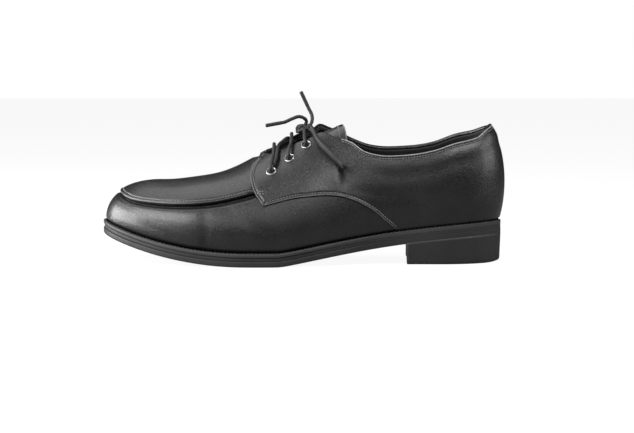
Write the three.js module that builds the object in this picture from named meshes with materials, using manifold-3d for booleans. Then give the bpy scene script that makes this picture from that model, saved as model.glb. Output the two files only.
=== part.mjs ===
// A left derby shoe with an apron front, laced over three pairs of eyelets and standing empty.
// Millimetres, Z up. The toe points to -X and the outer side of the foot to -Y.
// The origin is on the floor, under the middle of the heel.

import * as THREE from 'three';
import { mergeVertices } from 'three/addons/utils/BufferGeometryUtils.js';
import Module from 'manifold-3d';

const wasm = await Module();
wasm.setup();

// Sizes of the last and of the sole's rocker
const SHOE_LENGTH = 298;
const BALL_WIDTH = 92.5;
const LAST_HEIGHT = 90;
const TOE_SPRING = 21.3;
const HEEL_LIFT = 22.2;
const FOREFOOT_FLAT_FROM = 108;
const FOREFOOT_FLAT_TO = 131;
const TOE_CURVE = 2;
const ARCH_CURVE = 1.55;
const ARCH_EASE = 1.2;
const HEEL_CENTRE = 262;

// Sizes of the sole's layers
const OUTSOLE_THICK = 4.2;
const MIDSOLE_THICK = 2.6;
const WELT_THICK = 3.2;
const SOLE_THICK = OUTSOLE_THICK + MIDSOLE_THICK + WELT_THICK;
const TREAD_ROUNDING = 0.6;
const MIDSOLE_SETBACK = 0.7;
const WELT_UNDER_UPPER = 2;
const WELT_WIDTHS = [
  { place: 0, width: 1.7 }, { place: 0.07, width: 2.6 }, { place: 0.14, width: 3.2 },
  { place: 0.2, width: 3.2 }, { place: 0.5, width: 2.6 }, { place: 0.67, width: 1.8 },
  { place: 0.95, width: 1.7 }, { place: 1, width: 2.4 },
];
const INSOLE_THICK = 4;
const HEEL_BREAST = 228;
const BREAST_SKEW = 3.5;
const HEEL_TAPER = 0.8;
const BREAST_HOLLOW = 2.5;

// Sizes of the upper
const WALL = 2.4;
const APRON_RAISE = 1.4;
const APRON_RIM_RAISE = 2.4;
const QUARTER_RAISE = 1.3;
const OVERLAY_ROOT = 0.7;
const TONGUE_THICK = 2;
const TONGUE_DIP = 4;
const TONGUE_DIP_RUN = 0.6;
const APRON_RIM_SHARE = 0.1;
const LAP_GAP = 0.3;
const LAYER_GAP = 0.06;

// Sizes of the eyelets and the lace, how much of a bar's lean is reached on the way, and how far a
// top strand has come at its last point but one
const EYELET_BORE = 5.4;
const EYELET_BARREL = 6.2;
const EYELET_FLANGE = 7.8;
const EYELET_RIM = 0.8;
const HOLE_DEPTH = 6 * WALL;
const LACE_WIDTH = 2.8;
const AGLET_WIDTH = 2;
const AGLET_LENGTH = 13.5;
const KNOT_LENGTH = 9.2;
const KNOT_WIDTH = 11;
const KNOT_HEIGHT = 7;
const TOP_STRAND_BACK = -0.6;
const TOP_STRAND_GAP = 1.4;
const LACE_ARCH = 1.5;
const LEAN_AT_ARCH = 0.4;
const LEAN_AT_MIDDLE = 0.7;
const STRAND_LAST = 0.75;

// Resolution of the faceted solids
const ROUND_STEPS = 78;
const RISE_STEPS = 12;
const LINING_RISE_STEPS = 10;
const APRON_STEPS = 34;
const QUARTER_STEPS = 45;
const TONGUE_STEPS = 10;
const TONGUE_RISE_STEPS = 6;
const HEEL_STEPS = 30;
const BREAST_STEPS = 6;
const SEAM_STEPS = 24;
const COLLAR_STEPS = 40;
const THROAT_STEPS = 26;
const EYELET_STEPS = 12;
const HOLE_STEPS = 16;
const BAR_STEPS = 14;
const STRAND_STEPS = 9;
const LOOP_STEPS = 20;
const END_STEPS = 6;

// The last's sections, from the toe tip round to the heel back.
// Lengths are shares of SHOE_LENGTH, widths and bulges of BALL_WIDTH, and the crest's height of LAST_HEIGHT.
// rise and dome are shares of the section's own height, shoulders are shares of the way from crest to edge.
const SECTION_COLUMNS = [
  'outX', 'outY', 'inX', 'inY', 'crestX', 'crestY', 'crestZ', 'rise',
  'outBulge', 'inBulge', 'outShoulder', 'inShoulder', 'dome',
];
const SECTIONS = [
  [0.0065, 0.042, 0.0065, 0.042, 0.138, 0.022, 0.461, 0.600, 0.005, 0.005, 0.60, 0.60, 0.00],
  [0.023, -0.134, 0.019, 0.220, 0.141, 0.022, 0.463, 0.580, 0.022, 0.016, 0.60, 0.60, 0.00],
  [0.065, -0.264, 0.062, 0.351, 0.154, 0.022, 0.471, 0.560, 0.054, 0.038, 0.61, 0.61, 0.00],
  [0.134, -0.373, 0.131, 0.427, 0.188, 0.022, 0.496, 0.530, 0.097, 0.065, 0.63, 0.62, 0.00],
  [0.218, -0.459, 0.218, 0.470, 0.245, 0.022, 0.550, 0.510, 0.135, 0.086, 0.64, 0.62, 0.00],
  [0.309, -0.514, 0.309, 0.492, 0.315, 0.032, 0.622, 0.480, 0.141, 0.086, 0.58, 0.58, 0.00],
  [0.403, -0.535, 0.403, 0.465, 0.403, 0.049, 0.771, 0.420, 0.124, 0.065, 0.46, 0.52, 0.00],
  [0.497, -0.503, 0.497, 0.400, 0.497, 0.054, 0.930, 0.360, 0.108, 0.070, 0.42, 0.50, 0.00],
  [0.591, -0.422, 0.591, 0.335, 0.587, 0.043, 0.988, 0.330, 0.114, 0.092, 0.50, 0.58, 0.03],
  [0.685, -0.346, 0.685, 0.303, 0.678, 0.022, 1.012, 0.310, 0.119, 0.108, 0.78, 0.80, 0.14],
  [0.779, -0.319, 0.779, 0.297, 0.765, 0.011, 1.006, 0.310, 0.119, 0.114, 0.95, 0.95, 0.20],
  [0.872, -0.319, 0.872, 0.308, 0.846, 0.000, 1.009, 0.330, 0.108, 0.103, 1.00, 1.00, 0.20],
  [0.956, -0.222, 0.956, 0.222, 0.899, 0.000, 1.004, 0.350, 0.097, 0.097, 1.00, 1.00, 0.17],
  [0.995, 0.000, 0.995, 0.000, 0.914, 0.000, 1.000, 0.355, 0.097, 0.097, 1.10, 1.10, 0.16],
];

// The apron's edge: station on the outer side, and its share of the way up the wall on each side
const APRON_EDGE = [
  { station: 0, out: 0.53, in: 0.53 },
  { station: 1, out: 0.50, in: 0.52 },
  { station: 2, out: 0.445, in: 0.50 },
  { station: 3, out: 0.452, in: 0.50 },
  { station: 4, out: 0.463, in: 0.51 },
  { station: 5, out: 0.488, in: 0.52 },
  { station: 6.3, out: 0.490, in: 0.52 },
];

// The quarters' front and lower edge from the side, as shares of SHOE_LENGTH and LAST_HEIGHT
const QUARTER_EDGE = [
  [0.394, 1.060], [0.397, 0.885], [0.390, 0.815], [0.381, 0.755], [0.378, 0.715],
  [0.381, 0.655], [0.386, 0.605], [0.409, 0.490],
];
const QUARTER_SEAM = [
  [0.455, 0.530], [0.522, 0.566], [0.567, 0.575], [0.609, 0.558], [0.642, 0.520],
  [0.683, 0.442], [0.717, 0.348], [0.745, 0.262], [0.765, 0.180],
];

// The collar's edge from the side, in the same shares. Its inner side is cut a little higher.
const COLLAR_OUT = [
  [0.520, 1.064], [0.545, 1.057], [0.563, 1.055], [0.577, 1.033], [0.599, 1.013], [0.625, 0.987],
  [0.653, 0.922], [0.681, 0.892], [0.711, 0.880], [0.738, 0.882], [0.765, 0.888], [0.795, 0.901],
  [0.837, 0.932], [0.880, 0.981], [0.909, 1.002], [0.939, 1.033], [0.956, 1.078], [0.974, 1.121],
  [0.985, 1.138], [1.030, 1.150],
];
const COLLAR_IN = [
  [0.520, 1.140], [0.545, 1.122], [0.563, 1.105], [0.599, 1.052], [0.625, 1.010], [0.661, 0.959],
  [0.706, 0.931], [0.738, 0.930], [0.765, 0.934], [0.795, 0.942], [0.837, 0.968], [0.891, 1.034],
  [0.939, 1.074], [0.956, 1.098], [0.974, 1.124], [0.985, 1.138], [1.030, 1.150],
];

// The throat between the facings from above, as shares of SHOE_LENGTH and BALL_WIDTH
const THROAT_OUT = [[0.412, -0.050], [0.425, -0.106], [0.455, -0.124], [0.495, -0.128], [0.540, -0.128]];
const THROAT_IN = [[0.412, 0.072], [0.425, 0.100], [0.455, 0.108], [0.495, 0.114], [0.540, 0.130]];
const THROAT_FRONT = [0.405, 0.016];
const THROAT_BACK = 0.577;

// Eyelets: station, share of the way up the wall on each side, and how far the lace's bar leans
// back on its way to the facing's lip
const EYELETS = [
  { station: 6.26, out: 0.617, in: 0.578, lean: 0.10 },
  { station: 6.73, out: 0.661, in: 0.642, lean: 0.10 },
  { station: 7.17, out: 0.711, in: 0.710, lean: 0 },
];

// Where the laid-on pieces and the tongue begin and end, as stations of the outer side
const APRON_END = 5.9;
const QUARTER_START = 5.5;
const TONGUE_START = 5.3;
const TONGUE_END = 8.03;
const TONGUE_LOW = { out: 0.64, in: 0.66 };

// Columns of the apron's slab, from its edge up to the crest, and how far the cutting forms reach
const APRON_COLUMNS = [0, 0.03, 0.08, 0.13, 0.34, 0.56, 0.8, 1];
const BEYOND = 1.1;
const ABOVE = 1.6;

// Shares of the way up: how far past its eyelet the lace stands highest, and the facing's lip
const ARCH_SHARE = 0.05;
const LIP_SHARE = 0.86;

const HALF = SECTIONS.length - 1;
const ROUND = 2 * HALF;

// Height of the sole's underside over the floor, at a distance from the toe tip
function underside(distance) {
  const toe = Math.max(0, (FOREFOOT_FLAT_FROM - distance) / FOREFOOT_FLAT_FROM);
  const span = SHOE_LENGTH - FOREFOOT_FLAT_TO;
  const back = Math.min(1, Math.max(0, (distance - FOREFOOT_FLAT_TO) / span));
  const lift = HEEL_LIFT * (1 - (1 - back) ** ARCH_CURVE);
  return TOE_SPRING * toe ** TOE_CURVE + Math.hypot(lift, ARCH_EASE) - ARCH_EASE;
}

// Control values of the closed cubic spline that passes through one column of the sections
function closedSpline(outColumn, inColumn, unit) {
  const outIndex = SECTION_COLUMNS.indexOf(outColumn);
  const inIndex = SECTION_COLUMNS.indexOf(inColumn);
  const values = [];
  for (let row = 0; row <= HALF; row += 1) values.push(SECTIONS[row][outIndex] * unit);
  for (let row = HALF - 1; row > 0; row -= 1) values.push(SECTIONS[row][inIndex] * unit);
  const control = [...values];
  for (let pass = 0; pass < 60; pass += 1) {
    for (let i = 0; i < ROUND; i += 1) {
      const before = control[(i + ROUND - 1) % ROUND];
      const after = control[(i + 1) % ROUND];
      control[i] = (6 * values[i] - before - after) / 4;
    }
  }
  return (station) => {
    const first = Math.floor(station);
    const t = station - first;
    const weights = [
      (1 - t) ** 3 / 6,
      (3 * t ** 3 - 6 * t ** 2 + 4) / 6,
      (-3 * t ** 3 + 3 * t ** 2 + 3 * t + 1) / 6,
      t ** 3 / 6,
    ];
    let sum = 0;
    weights.forEach((weight, k) => {
      sum += weight * control[(first - 1 + k + 2 * ROUND) % ROUND];
    });
    return sum;
  };
}

const edgeX = closedSpline('outX', 'inX', SHOE_LENGTH);
const edgeY = closedSpline('outY', 'inY', BALL_WIDTH);
const crestX = closedSpline('crestX', 'crestX', SHOE_LENGTH);
const crestY = closedSpline('crestY', 'crestY', BALL_WIDTH);
const crestZ = closedSpline('crestZ', 'crestZ', LAST_HEIGHT);
const riseShare = closedSpline('rise', 'rise', 1);
const bulge = closedSpline('outBulge', 'inBulge', BALL_WIDTH);
const shoulder = closedSpline('outShoulder', 'inShoulder', 1);
const dome = closedSpline('dome', 'dome', 1);

// The plan's outward direction at a station of the edge
function planOutward(station) {
  const step = 0.001;
  const dx = edgeX(station + step) - edgeX(station - step);
  const dy = edgeY(station + step) - edgeY(station - step);
  return new THREE.Vector3(dy, -dx, 0).normalize();
}

// A point of the last: station 0 is the toe, HALF the heel, and the share rises from edge to crest
function lastPoint(station, share) {
  const out = planOutward(station);
  const foot = new THREE.Vector3(edgeX(station), edgeY(station), 0);
  foot.z = underside(foot.x) + SOLE_THICK;
  const crest = new THREE.Vector3(crestX(station), crestY(station), 0);
  crest.z = underside(crest.x) + SOLE_THICK + crestZ(station);
  const height = crest.z - foot.z;
  const wall = foot.clone().addScaledVector(out, bulge(station));
  wall.z += riseShare(station) * height;
  const top = crest.clone().lerp(foot, shoulder(station));
  top.z = crest.z - dome(station) * height;
  return new THREE.Vector3()
    .addScaledVector(foot, (1 - share) ** 3)
    .addScaledVector(wall, 3 * (1 - share) ** 2 * share)
    .addScaledVector(top, 3 * (1 - share) * share ** 2)
    .addScaledVector(crest, share ** 3);
}

function sideNormal(station, share) {
  const step = 0.002;
  const at = Math.min(0.97, Math.max(0.01, share));
  const along = lastPoint(station + step, at).sub(lastPoint(station - step, at));
  const up = lastPoint(station, at + step).sub(lastPoint(station, at - step));
  return along.cross(up).normalize();
}

// The last's normal, level at the edge and shared by both sides at the crest
function lastNormal(station, share) {
  const normal = sideNormal(station, share);
  if (share > 0.999) normal.add(sideNormal(ROUND - station, share));
  normal.z *= Math.min(1, share / 0.12);
  return normal.normalize();
}

function lastShifted(station, share, distance) {
  return lastPoint(station, share).addScaledVector(lastNormal(station, share), distance);
}

// A closed geometry from quads, each listed anticlockwise as seen from outside
function weldQuads(quads) {
  const positions = [];
  const same = (a, b) => a.distanceToSquared(b) < 1e-8;
  const push = (a, b, c) => {
    if (same(a, b) || same(b, c) || same(c, a)) return;
    [a, b, c].forEach((point) => positions.push(point.x, point.y, point.z));
  };
  quads.forEach(([a, b, c, d]) => {
    push(a, b, c);
    push(a, c, d);
  });
  const loose = new THREE.BufferGeometry();
  loose.setAttribute('position', new THREE.Float32BufferAttribute(positions, 3));
  return mergeVertices(loose, 1e-3);
}

function toSolid(source) {
  const bare = source.clone();
  bare.deleteAttribute('normal');
  bare.deleteAttribute('uv');
  const welded = mergeVertices(bare, 1e-3);
  const vertProperties = Float32Array.from(welded.attributes.position.array);
  const triVerts = Uint32Array.from(welded.index.array);
  return new wasm.Manifold(new wasm.Mesh({ numProp: 3, vertProperties, triVerts }));
}

function fromSolid(solid) {
  const mesh = solid.getMesh();
  const geometry = new THREE.BufferGeometry();
  geometry.setAttribute('position', new THREE.Float32BufferAttribute(mesh.vertProperties, 3));
  geometry.setIndex(Array.from(mesh.triVerts));
  return geometry;
}

function steps(from, to, count) {
  return Array.from({ length: count + 1 }, (unused, i) => from + ((to - from) * i) / count);
}

// Quads between rows of points, the rows running along a station and the points up the wall
function sheetQuads(rows, flip) {
  const quads = [];
  for (let i = 0; i + 1 < rows.length; i += 1) {
    for (let j = 0; j + 1 < rows[i].length; j += 1) {
      const quad = [rows[i][j], rows[i + 1][j], rows[i + 1][j + 1], rows[i][j + 1]];
      quads.push(flip ? quad.reverse() : quad);
    }
  }
  return quads;
}

// A closed slab of wall over spans of stations, from a lower share up to the crest
function wallSlab(spans, columns, lowShare, under, over) {
  const quads = [];
  spans.forEach(({ from, to, count, startWall, endWall }) => {
    const build = (raise) => steps(from, to, count).map((station) => {
      const low = lowShare(station);
      return columns.map((part) => {
        const share = low + (1 - low) * part;
        return lastShifted((station + ROUND) % ROUND, share, raise(part, station));
      });
    });
    const outer = build(over);
    const inner = build(under);
    quads.push(...sheetQuads(outer, false), ...sheetQuads(inner, true));
    quads.push(...sheetQuads(outer.map((row, i) => [inner[i][0], row[0]]), false));
    const startPair = [inner[0], outer[0]];
    const endPair = [outer.at(-1), inner.at(-1)];
    if (startWall) quads.push(...sheetQuads(startPair, false));
    if (endWall) quads.push(...sheetQuads(endPair, false));
  });
  return weldQuads(quads);
}

function tableShare(table, key, station) {
  let row = 0;
  while (row + 2 < table.length && table[row + 1].station < station) row += 1;
  const here = table[row];
  const next = table[row + 1];
  const part = (station - here.station) / (next.station - here.station);
  return here[key] + (next[key] - here[key]) * part;
}

// Plates of the sole
function weltWidth(distance) {
  const place = Math.min(1, Math.max(0, distance / SHOE_LENGTH));
  let row = 0;
  while (row + 2 < WELT_WIDTHS.length && WELT_WIDTHS[row + 1].place < place) row += 1;
  const from = WELT_WIDTHS[row];
  const to = WELT_WIDTHS[row + 1];
  return from.width + ((to.width - from.width) * (place - from.place)) / (to.place - from.place);
}

function soleLoop(inset, height, stations) {
  return stations.map((station) => {
    const reach = weltWidth(edgeX(station)) - inset;
    const point = new THREE.Vector3(edgeX(station), edgeY(station), 0);
    point.addScaledVector(planOutward(station), reach);
    point.z = underside(point.x) + height;
    return point;
  });
}

function edgeLoop(inset, height, stations) {
  return stations.map((station) => {
    const point = new THREE.Vector3(edgeX(station), edgeY(station), 0);
    point.addScaledVector(planOutward(station), -inset);
    point.z = underside(point.x) + height;
    return point;
  });
}

function loopStations(count) {
  return steps(0, ROUND, count).slice(0, count);
}

// Side wall between two loops, the lower one first
function hoopQuads(lower, upper) {
  return lower.map((point, i) => {
    const next = (i + 1) % lower.length;
    return [point, lower[next], upper[next], upper[i]];
  });
}

// A cap of strips across a loop that runs out along one side and back along the other
function capQuads(loop, up) {
  const quads = [];
  const count = loop.length;
  for (let i = 0; i < count / 2; i += 1) {
    const quad = [loop[i], loop[i + 1], loop[(count - i - 1) % count], loop[(count - i) % count]];
    quads.push(up ? quad : quad.reverse());
  }
  return quads;
}

function plate(lower, upper) {
  return weldQuads([...hoopQuads(lower, upper), ...capQuads(upper, true), ...capQuads(lower, false)]);
}

function outsoleGeometry() {
  const stations = loopStations(ROUND_STEPS);
  const tread = soleLoop(TREAD_ROUNDING, 0, stations);
  const edge = soleLoop(0, TREAD_ROUNDING, stations);
  const top = soleLoop(0, OUTSOLE_THICK - LAYER_GAP, stations);
  return weldQuads([
    ...hoopQuads(tread, edge), ...hoopQuads(edge, top),
    ...capQuads(top, true), ...capQuads(tread, false),
  ]);
}

function midsoleGeometry() {
  const stations = loopStations(ROUND_STEPS);
  const lower = soleLoop(MIDSOLE_SETBACK, OUTSOLE_THICK + LAYER_GAP, stations);
  const top = OUTSOLE_THICK + MIDSOLE_THICK - LAYER_GAP;
  return plate(lower, soleLoop(MIDSOLE_SETBACK, top, stations));
}

function weltGeometry() {
  const stations = loopStations(ROUND_STEPS);
  const low = OUTSOLE_THICK + MIDSOLE_THICK + LAYER_GAP;
  const high = SOLE_THICK - LAP_GAP;
  const lowerOut = soleLoop(0, low, stations);
  const upperOut = soleLoop(0, high, stations);
  const lowerIn = edgeLoop(WELT_UNDER_UPPER, low, stations);
  const upperIn = edgeLoop(WELT_UNDER_UPPER, high, stations);
  return weldQuads([
    ...hoopQuads(lowerOut, upperOut), ...hoopQuads(upperOut, upperIn),
    ...hoopQuads(upperIn, lowerIn), ...hoopQuads(lowerIn, lowerOut),
  ]);
}

function insoleGeometry() {
  const stations = loopStations(ROUND_STEPS);
  const low = OUTSOLE_THICK + MIDSOLE_THICK + LAP_GAP;
  const inset = WALL + 2 * LAP_GAP;
  return plate(edgeLoop(inset, low, stations), edgeLoop(inset, low + INSOLE_THICK, stations));
}

// The outer side's station whose edge lies at a distance from the toe tip
function stationAt(distance) {
  let low = 0;
  let high = HALF;
  while (high - low > 1e-9) {
    const middle = (low + high) / 2;
    if (edgeX(middle) < distance) low = middle;
    else high = middle;
  }
  return low;
}

// The heel block's outline: round the back, then along the breast, which is a little hollow and
// lies further back on the inner side
function heelLoop(inset, heightAt) {
  const breastStation = stationAt(HEEL_BREAST);
  const outline = soleLoop(inset, 0, steps(breastStation, ROUND - breastStation, HEEL_STEPS));
  const first = outline[0];
  const last = outline.at(-1);
  first.x = HEEL_BREAST - BREAST_SKEW / 2;
  last.x = HEEL_BREAST + BREAST_SKEW / 2;
  const breast = steps(0, 1, BREAST_STEPS).slice(1, -1).map((part) => {
    const point = last.clone().lerp(first, part);
    point.x += 4 * BREAST_HOLLOW * part * (1 - part);
    return point;
  });
  return [...outline, ...breast].map(({ x, y }) => new THREE.Vector3(x, y, heightAt(x)));
}

// Strips across the heel's outline, then a fan from its first corner over the breast
function heelCapQuads(loop, up) {
  const quads = [];
  for (let i = 0; i < HEEL_STEPS / 2; i += 1) {
    quads.push([loop[i], loop[i + 1], loop[HEEL_STEPS - i - 1], loop[HEEL_STEPS - i]]);
  }
  const breast = loop.slice(HEEL_STEPS);
  for (let i = 0; i + 1 < breast.length; i += 1) {
    quads.push([loop[0], breast[i], breast[i + 1], breast[i + 1]]);
  }
  return up ? quads : quads.map((quad) => quad.reverse());
}

function heelGeometry() {
  const floor = heelLoop(HEEL_TAPER, () => 0);
  const seat = heelLoop(0, (x) => underside(x) - LAYER_GAP);
  return weldQuads([
    ...hoopQuads(floor, seat), ...heelCapQuads(seat, true), ...heelCapQuads(floor, false),
  ]);
}

// The solid inside an outline: a smooth curve through points, closed by corners, given a depth
function outlinePrism(curvePoints, corners, depth, count) {
  const curve = new THREE.SplineCurve(curvePoints.map(([x, y]) => new THREE.Vector2(x, y)));
  const shape = new THREE.Shape([
    ...curve.getPoints(count),
    ...corners.map(([x, y]) => new THREE.Vector2(x, y)),
  ]);
  return new THREE.ExtrudeGeometry(shape, { depth, bevelEnabled: false, steps: 1 });
}

// The same with the outline seen from the side, between two places across the shoe
function sidePrism(curvePoints, corners, fromY, toY, count) {
  const prism = outlinePrism(curvePoints, corners, toY - fromY, count);
  return toSolid(prism.rotateX(Math.PI / 2).translate(0, toY, 0));
}

function toSide([length, height]) {
  return [length * SHOE_LENGTH, height * LAST_HEIGHT];
}

function toPlan([length, width]) {
  return [length * SHOE_LENGTH, width * BALL_WIDTH];
}

// A closed form from rings of points, the lowest one first
function ringForm(rings) {
  const quads = capQuads(rings[0], false);
  for (let j = 0; j + 1 < rings.length; j += 1) quads.push(...hoopQuads(rings[j], rings[j + 1]));
  return toSolid(weldQuads(quads));
}

function lastRings(count, distance) {
  return steps(0, 1, count).map((share) => (
    loopStations(ROUND_STEPS).map((station) => lastShifted(station, share, distance))
  ));
}

function apronSolid() {
  const raise = (part) => (
    part > 0 && part < APRON_RIM_SHARE ? APRON_RIM_RAISE : APRON_RAISE
  );
  const low = (station) => (
    station > 0 ? tableShare(APRON_EDGE, 'out', station) : tableShare(APRON_EDGE, 'in', -station)
  );
  return toSolid(wallSlab(
    [{ from: -APRON_END, to: APRON_END, count: APRON_STEPS, startWall: true, endWall: true }],
    APRON_COLUMNS, low, () => -OVERLAY_ROOT, raise,
  ));
}

// Both quarters: a raised slab round the heel, cut along the front edges and the lower seams
function quarterSolid() {
  const slab = toSolid(wallSlab(
    [{
      from: QUARTER_START, to: ROUND - QUARTER_START, count: QUARTER_STEPS, startWall: true, endWall: true,
    }],
    steps(0, 1, RISE_STEPS), () => 0, () => -OVERLAY_ROOT, () => QUARTER_RAISE,
  ));
  const seam = [...QUARTER_EDGE.slice(-1), ...QUARTER_SEAM].map(toSide);
  const front = QUARTER_EDGE.slice(0, -1).map(toSide);
  const corners = [
    [BEYOND * SHOE_LENGTH, 0], [BEYOND * SHOE_LENGTH, ABOVE * LAST_HEIGHT],
    [front[0][0], ABOVE * LAST_HEIGHT], ...front,
  ];
  return slab.intersect(sidePrism(seam, corners, -BALL_WIDTH, BALL_WIDTH, SEAM_STEPS));
}

function collarCut(edge, fromY, toY) {
  const curve = edge.map(toSide);
  const corners = [
    [BEYOND * SHOE_LENGTH, ABOVE * LAST_HEIGHT], [curve[0][0], ABOVE * LAST_HEIGHT],
  ];
  return sidePrism(curve, corners, fromY, toY, COLLAR_STEPS);
}

function throatCut() {
  const points = [
    [THROAT_BACK, THROAT_IN.at(-1)[1]], ...[...THROAT_IN].reverse(), THROAT_FRONT,
    ...THROAT_OUT, [THROAT_BACK, THROAT_OUT.at(-1)[1]],
  ].map(toPlan);
  const prism = outlinePrism(points, [], LAST_HEIGHT, THROAT_STEPS);
  return toSolid(prism.translate(0, 0, LAST_HEIGHT / 2 + SOLE_THICK));
}

function eyeletHole({ station, share }) {
  const radius = EYELET_BARREL / 2 + LAP_GAP;
  const hole = new THREE.CylinderGeometry(radius, radius, HOLE_DEPTH, HOLE_STEPS);
  return toSolid(place(hole, station, share, 0));
}

// The upper: a hollow wall with the apron and the quarters laid on it, open underneath, at the
// throat and at the collar
function upperGeometry() {
  const liningRings = lastRings(LINING_RISE_STEPS, -WALL);
  const below = liningRings[0].map((point) => point.clone().setZ(point.z - SOLE_THICK));
  const cuts = [
    ringForm([below, ...liningRings]),
    collarCut(COLLAR_OUT, -BALL_WIDTH, 0),
    collarCut(COLLAR_IN, 0, BALL_WIDTH),
    throatCut(),
    ...eyeletPlaces().map(eyeletHole),
  ];
  const wall = ringForm(lastRings(RISE_STEPS, 0)).add(apronSolid()).add(quarterSolid());
  return fromSolid(cuts.reduce((solid, cut) => solid.subtract(cut), wall));
}

function tongueGeometry() {
  const root = -(WALL + 2 * LAP_GAP);
  const low = (station) => (station > HALF ? TONGUE_LOW.in : TONGUE_LOW.out);
  const sink = (part, station) => {
    const along = station > HALF ? ROUND - station : station;
    const fade = Math.min(1, Math.max(0, (TONGUE_END - along) / TONGUE_DIP_RUN));
    return root - TONGUE_DIP * part ** 2 * fade;
  };
  const ends = { count: TONGUE_STEPS, startWall: true, endWall: true };
  return wallSlab(
    [
      { from: TONGUE_START, to: TONGUE_END, ...ends },
      { from: ROUND - TONGUE_END, to: ROUND - TONGUE_START, ...ends },
    ],
    steps(0, 1, TONGUE_RISE_STEPS), low,
    (part, station) => sink(part, station) - TONGUE_THICK, sink,
  );
}

// Eyelets, with their axis along the wall's normal
function eyeletPlaces() {
  return EYELETS.flatMap(({ station, out, in: inner }, i) => [
    { name: `eyelet_outer_side_${i + 1}`, station, share: out },
    { name: `eyelet_inner_side_${i + 1}`, station: ROUND - station, share: inner },
  ]);
}

function place(geometry, station, share, distance) {
  const normal = lastNormal(station, share);
  const turn = new THREE.Quaternion().setFromUnitVectors(new THREE.Vector3(0, 1, 0), normal);
  const at = lastShifted(station, share, distance);
  geometry.applyQuaternion(turn);
  geometry.translate(at.x, at.y, at.z);
  return geometry;
}

function eyeletGeometry() {
  const bore = EYELET_BORE / 2;
  const barrel = EYELET_BARREL / 2;
  const flange = EYELET_FLANGE / 2;
  const seat = QUARTER_RAISE + LAP_GAP;
  const profile = [
    [bore, -WALL], [barrel, -WALL], [barrel, seat], [flange, seat],
    [flange - EYELET_RIM / 2, seat + EYELET_RIM], [bore + EYELET_RIM / 2, seat + EYELET_RIM], [bore, seat],
    [bore, -WALL],
  ].map(([radius, height]) => new THREE.Vector2(radius, height));
  return new THREE.LatheGeometry(profile, EYELET_STEPS);
}

// The lace's routes, points chosen by hand: distance from the toe tip, sideways, height
const FRONT_END = [
  [152.5, 1.8, 102.4], [152.9, 1.2, 104.6], [151.2, 0, 106.6], [147.2, -1.2, 107.8],
  [141.8, -2.6, 106.2], [136.6, -3.7, 103.5], [134.9, -3.9, 103.1],
];
const UP_END = [
  [154.6, -2.3, 100.4], [156.6, -1.4, 103.0], [157.4, 0, 106.0], [156.8, 1, 109.6],
  [154.8, 1.6, 113.6], [154.1, 1.7, 115.1],
];
const OUTER_LOOP = [
  [153.6, -3.9, 98.6], [157.4, -11.2, 97.4], [161.5, -19.1, 90.5], [165.1, -23.3, 86.4],
  [169.2, -26.5, 82.5], [173.3, -29.3, 78.6], [177.3, -31.4, 75.0], [179.6, -32.6, 72.4],
  [181.0, -34.7, 72.1], [179.6, -35.8, 73.9], [177.2, -34.3, 76.5], [173.1, -32.1, 80.3],
  [169.0, -29.3, 84.3], [164.8, -25.8, 88.4], [161.0, -21.5, 92.7], [158.6, -15.6, 97.6],
  [156.9, -12.6, 100.6],
];
const INNER_LOOP = [
  [152.9, 5.8, 98.9], [154.6, 12.2, 99.4], [158.0, 19.3, 93.8], [162.0, 22.5, 89.6],
  [166.4, 24.7, 85.8], [170.6, 26.4, 82.2], [174.7, 27.9, 78.7], [177.0, 28.8, 76.0],
  [178.4, 30.9, 75.4], [177.0, 32.4, 76.9], [174.7, 31.4, 79.5], [170.6, 30.0, 83.0],
  [166.4, 28.2, 86.7], [162.2, 26.0, 90.4], [158.4, 23.2, 94.6], [155.8, 19.6, 98.2], [154.4, 16.6, 101.0],
];
const KNOT = [149.8, 0.6, 98.6];

function toVectors(route) {
  return route.map((point) => new THREE.Vector3(...point));
}

// A round tube of eight sides along a smooth path
function tube(points, width, count) {
  const path = new THREE.CatmullRomCurve3(points);
  const section = new THREE.Shape();
  section.absarc(0, 0, width / 2, 0, 2 * Math.PI);
  return new THREE.ExtrudeGeometry(section, { steps: count, extrudePath: path, curveSegments: 4 });
}

// Points of the lace on one side, from inside an eyelet up over the facing's lip
function laceSide(station, share, lean) {
  const ride = QUARTER_RAISE + LAP_GAP + EYELET_RIM + LACE_WIDTH / 2 + LAP_GAP;
  return [
    lastShifted(station, share, LAP_GAP),
    lastShifted(station, share, ride),
    lastShifted(station + LEAN_AT_ARCH * lean, share + ARCH_SHARE, ride + LACE_ARCH),
    lastShifted(station + LEAN_AT_MIDDLE * lean, (share + LIP_SHARE) / 2, ride - LAP_GAP),
    lastShifted(station + lean, LIP_SHARE, ride - LAP_GAP),
  ];
}

// One bar of the lace: out of an eyelet, over both facings and into the opposite eyelet
function barGeometry({ station, out, in: inner, lean }) {
  return tube(
    [...laceSide(station, out, lean), ...laceSide(ROUND - station, inner, -lean).reverse()],
    LACE_WIDTH, BAR_STEPS,
  );
}

// A strand of the lace from a top eyelet up to the knot
function topStrandGeometry(station, share) {
  const [inside, outside, arch, , lip] = laceSide(station, share, 0);
  const knot = new THREE.Vector3(...KNOT);
  const end = knot.clone();
  end.y += Math.sign(lip.y - knot.y) * (KNOT_WIDTH / 2 + TOP_STRAND_GAP);
  end.x += TOP_STRAND_BACK;
  return tube([inside, outside, arch, end.clone().lerp(lip, STRAND_LAST), end], LACE_WIDTH, STRAND_STEPS);
}

// The knot: a flattened round form between the facings
function knotGeometry() {
  const knot = new THREE.SphereGeometry(0.5, 12, 8);
  knot.scale(KNOT_LENGTH, KNOT_WIDTH, KNOT_HEIGHT);
  return knot.translate(...KNOT);
}

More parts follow.
